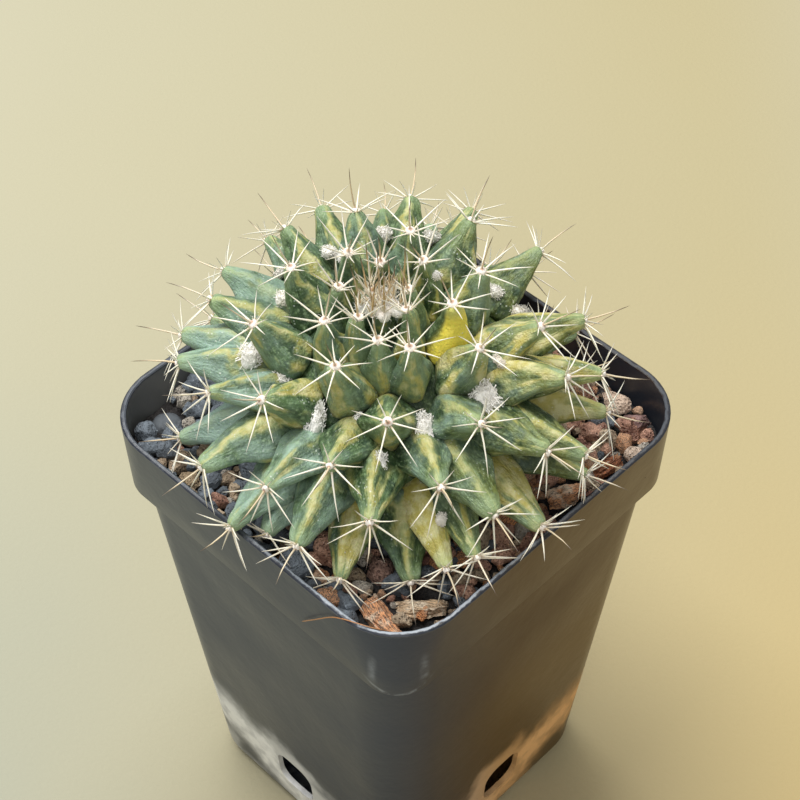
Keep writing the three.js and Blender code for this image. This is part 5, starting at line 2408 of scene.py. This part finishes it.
@dataclass
class NurseryPot:
    """The thin square pot: a tapered body, a band above it with a lip painted partly worn and
    partly highlit, four drain holes.
    """

    sizes: PotSizes
    finish: Finish = PotPlastic("pot_plastic")
    corner_steps: int = 14
    inner_rows: int = 8
    hole: Triple = (9.0, 10.0, 13.5)
    hole_deep: float = 12.0
    hole_round: float = 3.0

    def rows(self) -> list[Triple]:
        """The rows of the wall, up the outside and down the inside.

        Returns:
            The height, half width and corner radius of each.
        """
        pot = self.sizes
        rows = []
        for k in range(5):
            turn = k / 4 * math.pi / 2
            inset = pot.foot_fillet * (1 - math.sin(turn))
            height = pot.foot_fillet * (1 - math.cos(turn))
            half, corner = pot.body_at(height)
            rows.append((height, half - inset, corner - inset))
        step = pot.height - pot.band_height
        for height in (step * 0.3, step * 0.6, step - 0.4, step - 0.05):
            rows.append((height, *pot.body_at(height)))
        half, corner = pot.band_at(step)
        rows.append((step, half - 0.3, corner - 0.3))
        rows.append((step + 0.12, half - 0.08, corner - 0.08))
        rows.append((step + 0.4, half, corner))
        for height in (step + 5, step + 11, pot.height - 0.5):
            rows.append((height, *pot.band_at(height)))
        rim, bend = pot.rim_half, pot.rim_corner
        for height, inset in ((0.16, 0.04), (0.0, 0.28), (0.0, 0.72), (0.16, 0.96), (0.5, 1.0)):
            rows.append((pot.height - height, rim - inset, bend - inset))
        for height in (step + 11, step + 1.2):
            half, corner = pot.band_at(height)
            rows.append((height, half - pot.wall, corner - pot.wall))
        for height in (step + 0.4, step * 0.5, pot.floor + 3):
            half, corner = pot.body_at(height)
            rows.append((height, half - pot.wall, corner - pot.wall))
        half, corner = pot.body_at(pot.floor)
        rows.append((pot.floor + 0.8, half - pot.wall - 0.8, corner - 1.8))
        rows.append((pot.floor, half - pot.wall - 2.6, corner - 3.6))
        return rows

    def shell(self) -> Piece:
        """The pot without its holes.

        Returns:
            The shell.
        """
        rows = self.rows()
        count = 4 * (self.corner_steps + 1)
        circle = bpy.ops.mesh.primitive_circle_add
        piece = started(circle, vertices=count, radius=1.0, fill_type="NGON")
        with editing(piece):
            for _ in rows[1:]:
                bpy.ops.mesh.extrude_region_move(TRANSFORM_OT_translate={"value": (0, 0, 1)})
        points = points_of(piece)
        order = np.lexsort((np.arctan2(points[:, 1], points[:, 0]), np.round(points[:, 2])))
        for index, (height, half, corner) in enumerate(rows):
            ring = square_ring(half, corner, self.corner_steps)
            ring = ring[np.argsort(np.arctan2(ring[:, 1], ring[:, 0]))]
            row = order[index * count : (index + 1) * count]
            points[row, :2] = ring
            points[row, 2] = height
        put_points(piece, points)
        inner = np.zeros(len(points))
        inner[order[(len(rows) - self.inner_rows) * count :]] = 1.0
        store(piece, "inside", inner)
        outward(piece)
        return piece

    def cutter(self, turn: float) -> Piece:
        """A rounded block that cuts one drain hole.

        Args:
            turn: Where the wall that it cuts looks to, in radians.

        Returns:
            The block.
        """
        wide, high, middle = self.hole
        piece = started(bpy.ops.mesh.primitive_cube_add, size=1)
        with editing(piece):
            bpy.ops.transform.resize(value=(wide, self.hole_deep, high))
        for edge in piece.data.edges:
            ends = [piece.data.vertices[k].co for k in edge.vertices]
            edge.select = abs(ends[0].y - ends[1].y) > 1
        with editing(piece, whole=False, edges=True):
            bpy.ops.mesh.select_mode(type="EDGE")
            bpy.ops.mesh.bevel(offset=self.hole_round, segments=5, affect="EDGES")
        points = points_of(piece) + np.array([0, -self.sizes.foot_half + 1, middle])
        spun = np.array(Matrix.Rotation(turn, 3, "Z"))
        put_points(piece, points @ spun.T)
        return piece

    def build(self) -> None:
        """Build the pot and dress it."""
        piece = self.shell()
        for k in range(4):
            cutter = self.cutter(k * math.pi / 2)
            apply_modifier(piece, "BOOLEAN", operation="DIFFERENCE", object=cutter, solver="EXACT")
            scrap(cutter)
        put_points(piece, points_of(piece) * MM)
        shade(piece, 32)
        report(named(self.finish.dress(piece), "nursery_pot"), "pot_plastic", "pot")


@dataclass
class Fibre:
    """One thin brown root fibre that hangs over the lip."""

    finish: Finish = Horn("fibre", (0.28, 0.13, 0.05), (0.42, 0.19, 0.07), (0.30, 0.13, 0.05))
    path: tuple[Triple, ...] = (
        (29.4, -31.6, 95.4),
        (28.0, -33.2, 96.25),
        (25.6, -34.3, 96.35),
        (23.4, -35.05, 96.1),
        (21.0, -35.25, 94.4),
        (18.6, -35.2, 91.4),
        (15.6, -34.8, 87.6),
        (12.9, -34.1, 83.9),
    )
    radius: float = 0.12

    def build(self) -> None:
        """Draw the fibre out of a disc along its path."""
        piece = drawn_out(5, [(k, self.radius, self.radius) for k in range(len(self.path))])
        points = points_of(piece)
        path = np.array(self.path)
        row = np.round(points[:, 2]).astype(int)
        ways = np.gradient(path, axis=0)
        placed = [
            path[k] + frame_on(ways[k], UP)[:, :2] @ point[:2]
            for k, point in zip(row, points)
        ]
        put_points(piece, np.array(placed) * MM)
        run = np.stack([points[:, 0], points[:, 1], row / 20], axis=1)
        store(piece, "run", run)
        store_tone(piece, (0.0, 0.0, 0.6))
        outward(piece)
        apply_modifier(piece, "SUBSURF", levels=2, render_levels=2)
        report(named(self.finish.dress(piece), "root_fibre"), "bark")


# The studio


@dataclass
class Studio:
    """The ground, the soft light and the camera."""

    camera_at: Triple = (140.19044, -141.27611, 320.47205)
    right: Triple = (0.71409577, 0.70004462, -0.0021812)
    up: Triple = (-0.52075103, 0.53328061, 0.66665595)
    lens: float = 83.5046
    sensor: float = 36.0
    cloth: Finish = PaleCloth("pale_cloth")
    looked_at: Triple = (0, 0, 0.09)
    sky_color: Color = (0.92, 0.97, 1.0)
    sky_strength: float = 0.42
    lamps: tuple[tuple[str, Triple, float, float, Color], ...] = (
        ("window", (-0.34, 0.02, 1.1), 0.75, 17.5, (1.0, 0.99, 0.97)),
        ("fill", (0.5, -0.6, 0.8), 0.5, 2.2, (1.0, 0.96, 0.90)),
    )

    def ground(self) -> None:
        """A wide level ground."""
        grid = bpy.ops.mesh.primitive_grid_add
        piece = named(started(grid, x_subdivisions=8, y_subdivisions=8, size=3), "ground")
        self.cloth.dress(piece)
        piece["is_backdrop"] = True

    def light(self, name: str, at: Triple, size: float, watts: float, color: Color) -> None:
        """A soft square light that looks at the plant.

        Args:
            name: Its name.
            at: Its place, in metres.
            size: Its width, in metres.
            watts: Its power.
            color: Its colour.
        """
        data = bpy.data.lights.new(name, "AREA")
        data.size = size
        data.energy = watts
        data.color = color
        lamp = bpy.data.objects.new(name, data)
        lamp.location = at
        way = Vector(self.looked_at) - Vector(at)
        lamp.rotation_euler = way.to_track_quat("-Z", "Y").to_euler()
        bpy.context.scene.collection.objects.link(lamp)

    def sky(self) -> None:
        """An even pale sky."""
        world = bpy.data.worlds.new("pale_sky")
        world.use_nodes = True
        plain = world.node_tree.nodes["Background"]
        plain.inputs["Color"].default_value = (*self.sky_color, 1)
        plain.inputs["Strength"].default_value = self.sky_strength
        bpy.context.scene.world = world

    def camera(self) -> None:
        """The camera, set by its place and its right and up directions."""
        data = bpy.data.cameras.new("camera")
        data.sensor_width = self.sensor
        data.lens = self.lens
        data.clip_start = 0.01
        camera = bpy.data.objects.new("camera", data)
        right, up = np.array(self.right), np.array(self.up)
        turned = Matrix(np.stack([right, up, np.cross(right, up)], axis=1).tolist()).to_4x4()
        camera.matrix_world = Matrix.Translation(Vector(self.camera_at) * MM) @ turned
        bpy.context.scene.collection.objects.link(camera)
        bpy.context.scene.camera = camera

    def build(self) -> None:
        """Set up everything that isn't the object."""
        self.camera()
        self.ground()
        self.sky()
        for lamp in self.lamps:
            self.light(*lamp)
        bpy.context.scene.view_settings.view_transform = "Standard"


def main() -> None:
    """Build every part and dress it, logging each piece's triangles."""
    logging.basicConfig(level=logging.INFO, format="%(message)s")
    noise.seed_set(NOISE_SEED)
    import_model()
    solids = [list(corner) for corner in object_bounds()]
    Effects().build()
    Studio().build()
    pot = PotSizes()
    spiral = Spiral(pot)
    tubercles = spiral.all()
    NurseryPot(pot).build()
    boxes = [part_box(piece.node) for piece in LOOSE_PIECES]
    Grit(pot, [(np.array(low) / MM, np.array(high) / MM) for low, high in boxes]).build()
    for loose in LOOSE_PIECES:
        loose.build()
    Fibre().build()
    CactusSkin(spiral, tubercles).build()
    box = np.array(solids[0]) / MM, np.array(solids[1]) / MM
    Spines(pot, tubercles, box).build()
    WoolParts(spiral, tubercles).build()


if __name__ == "__main__":
    main()
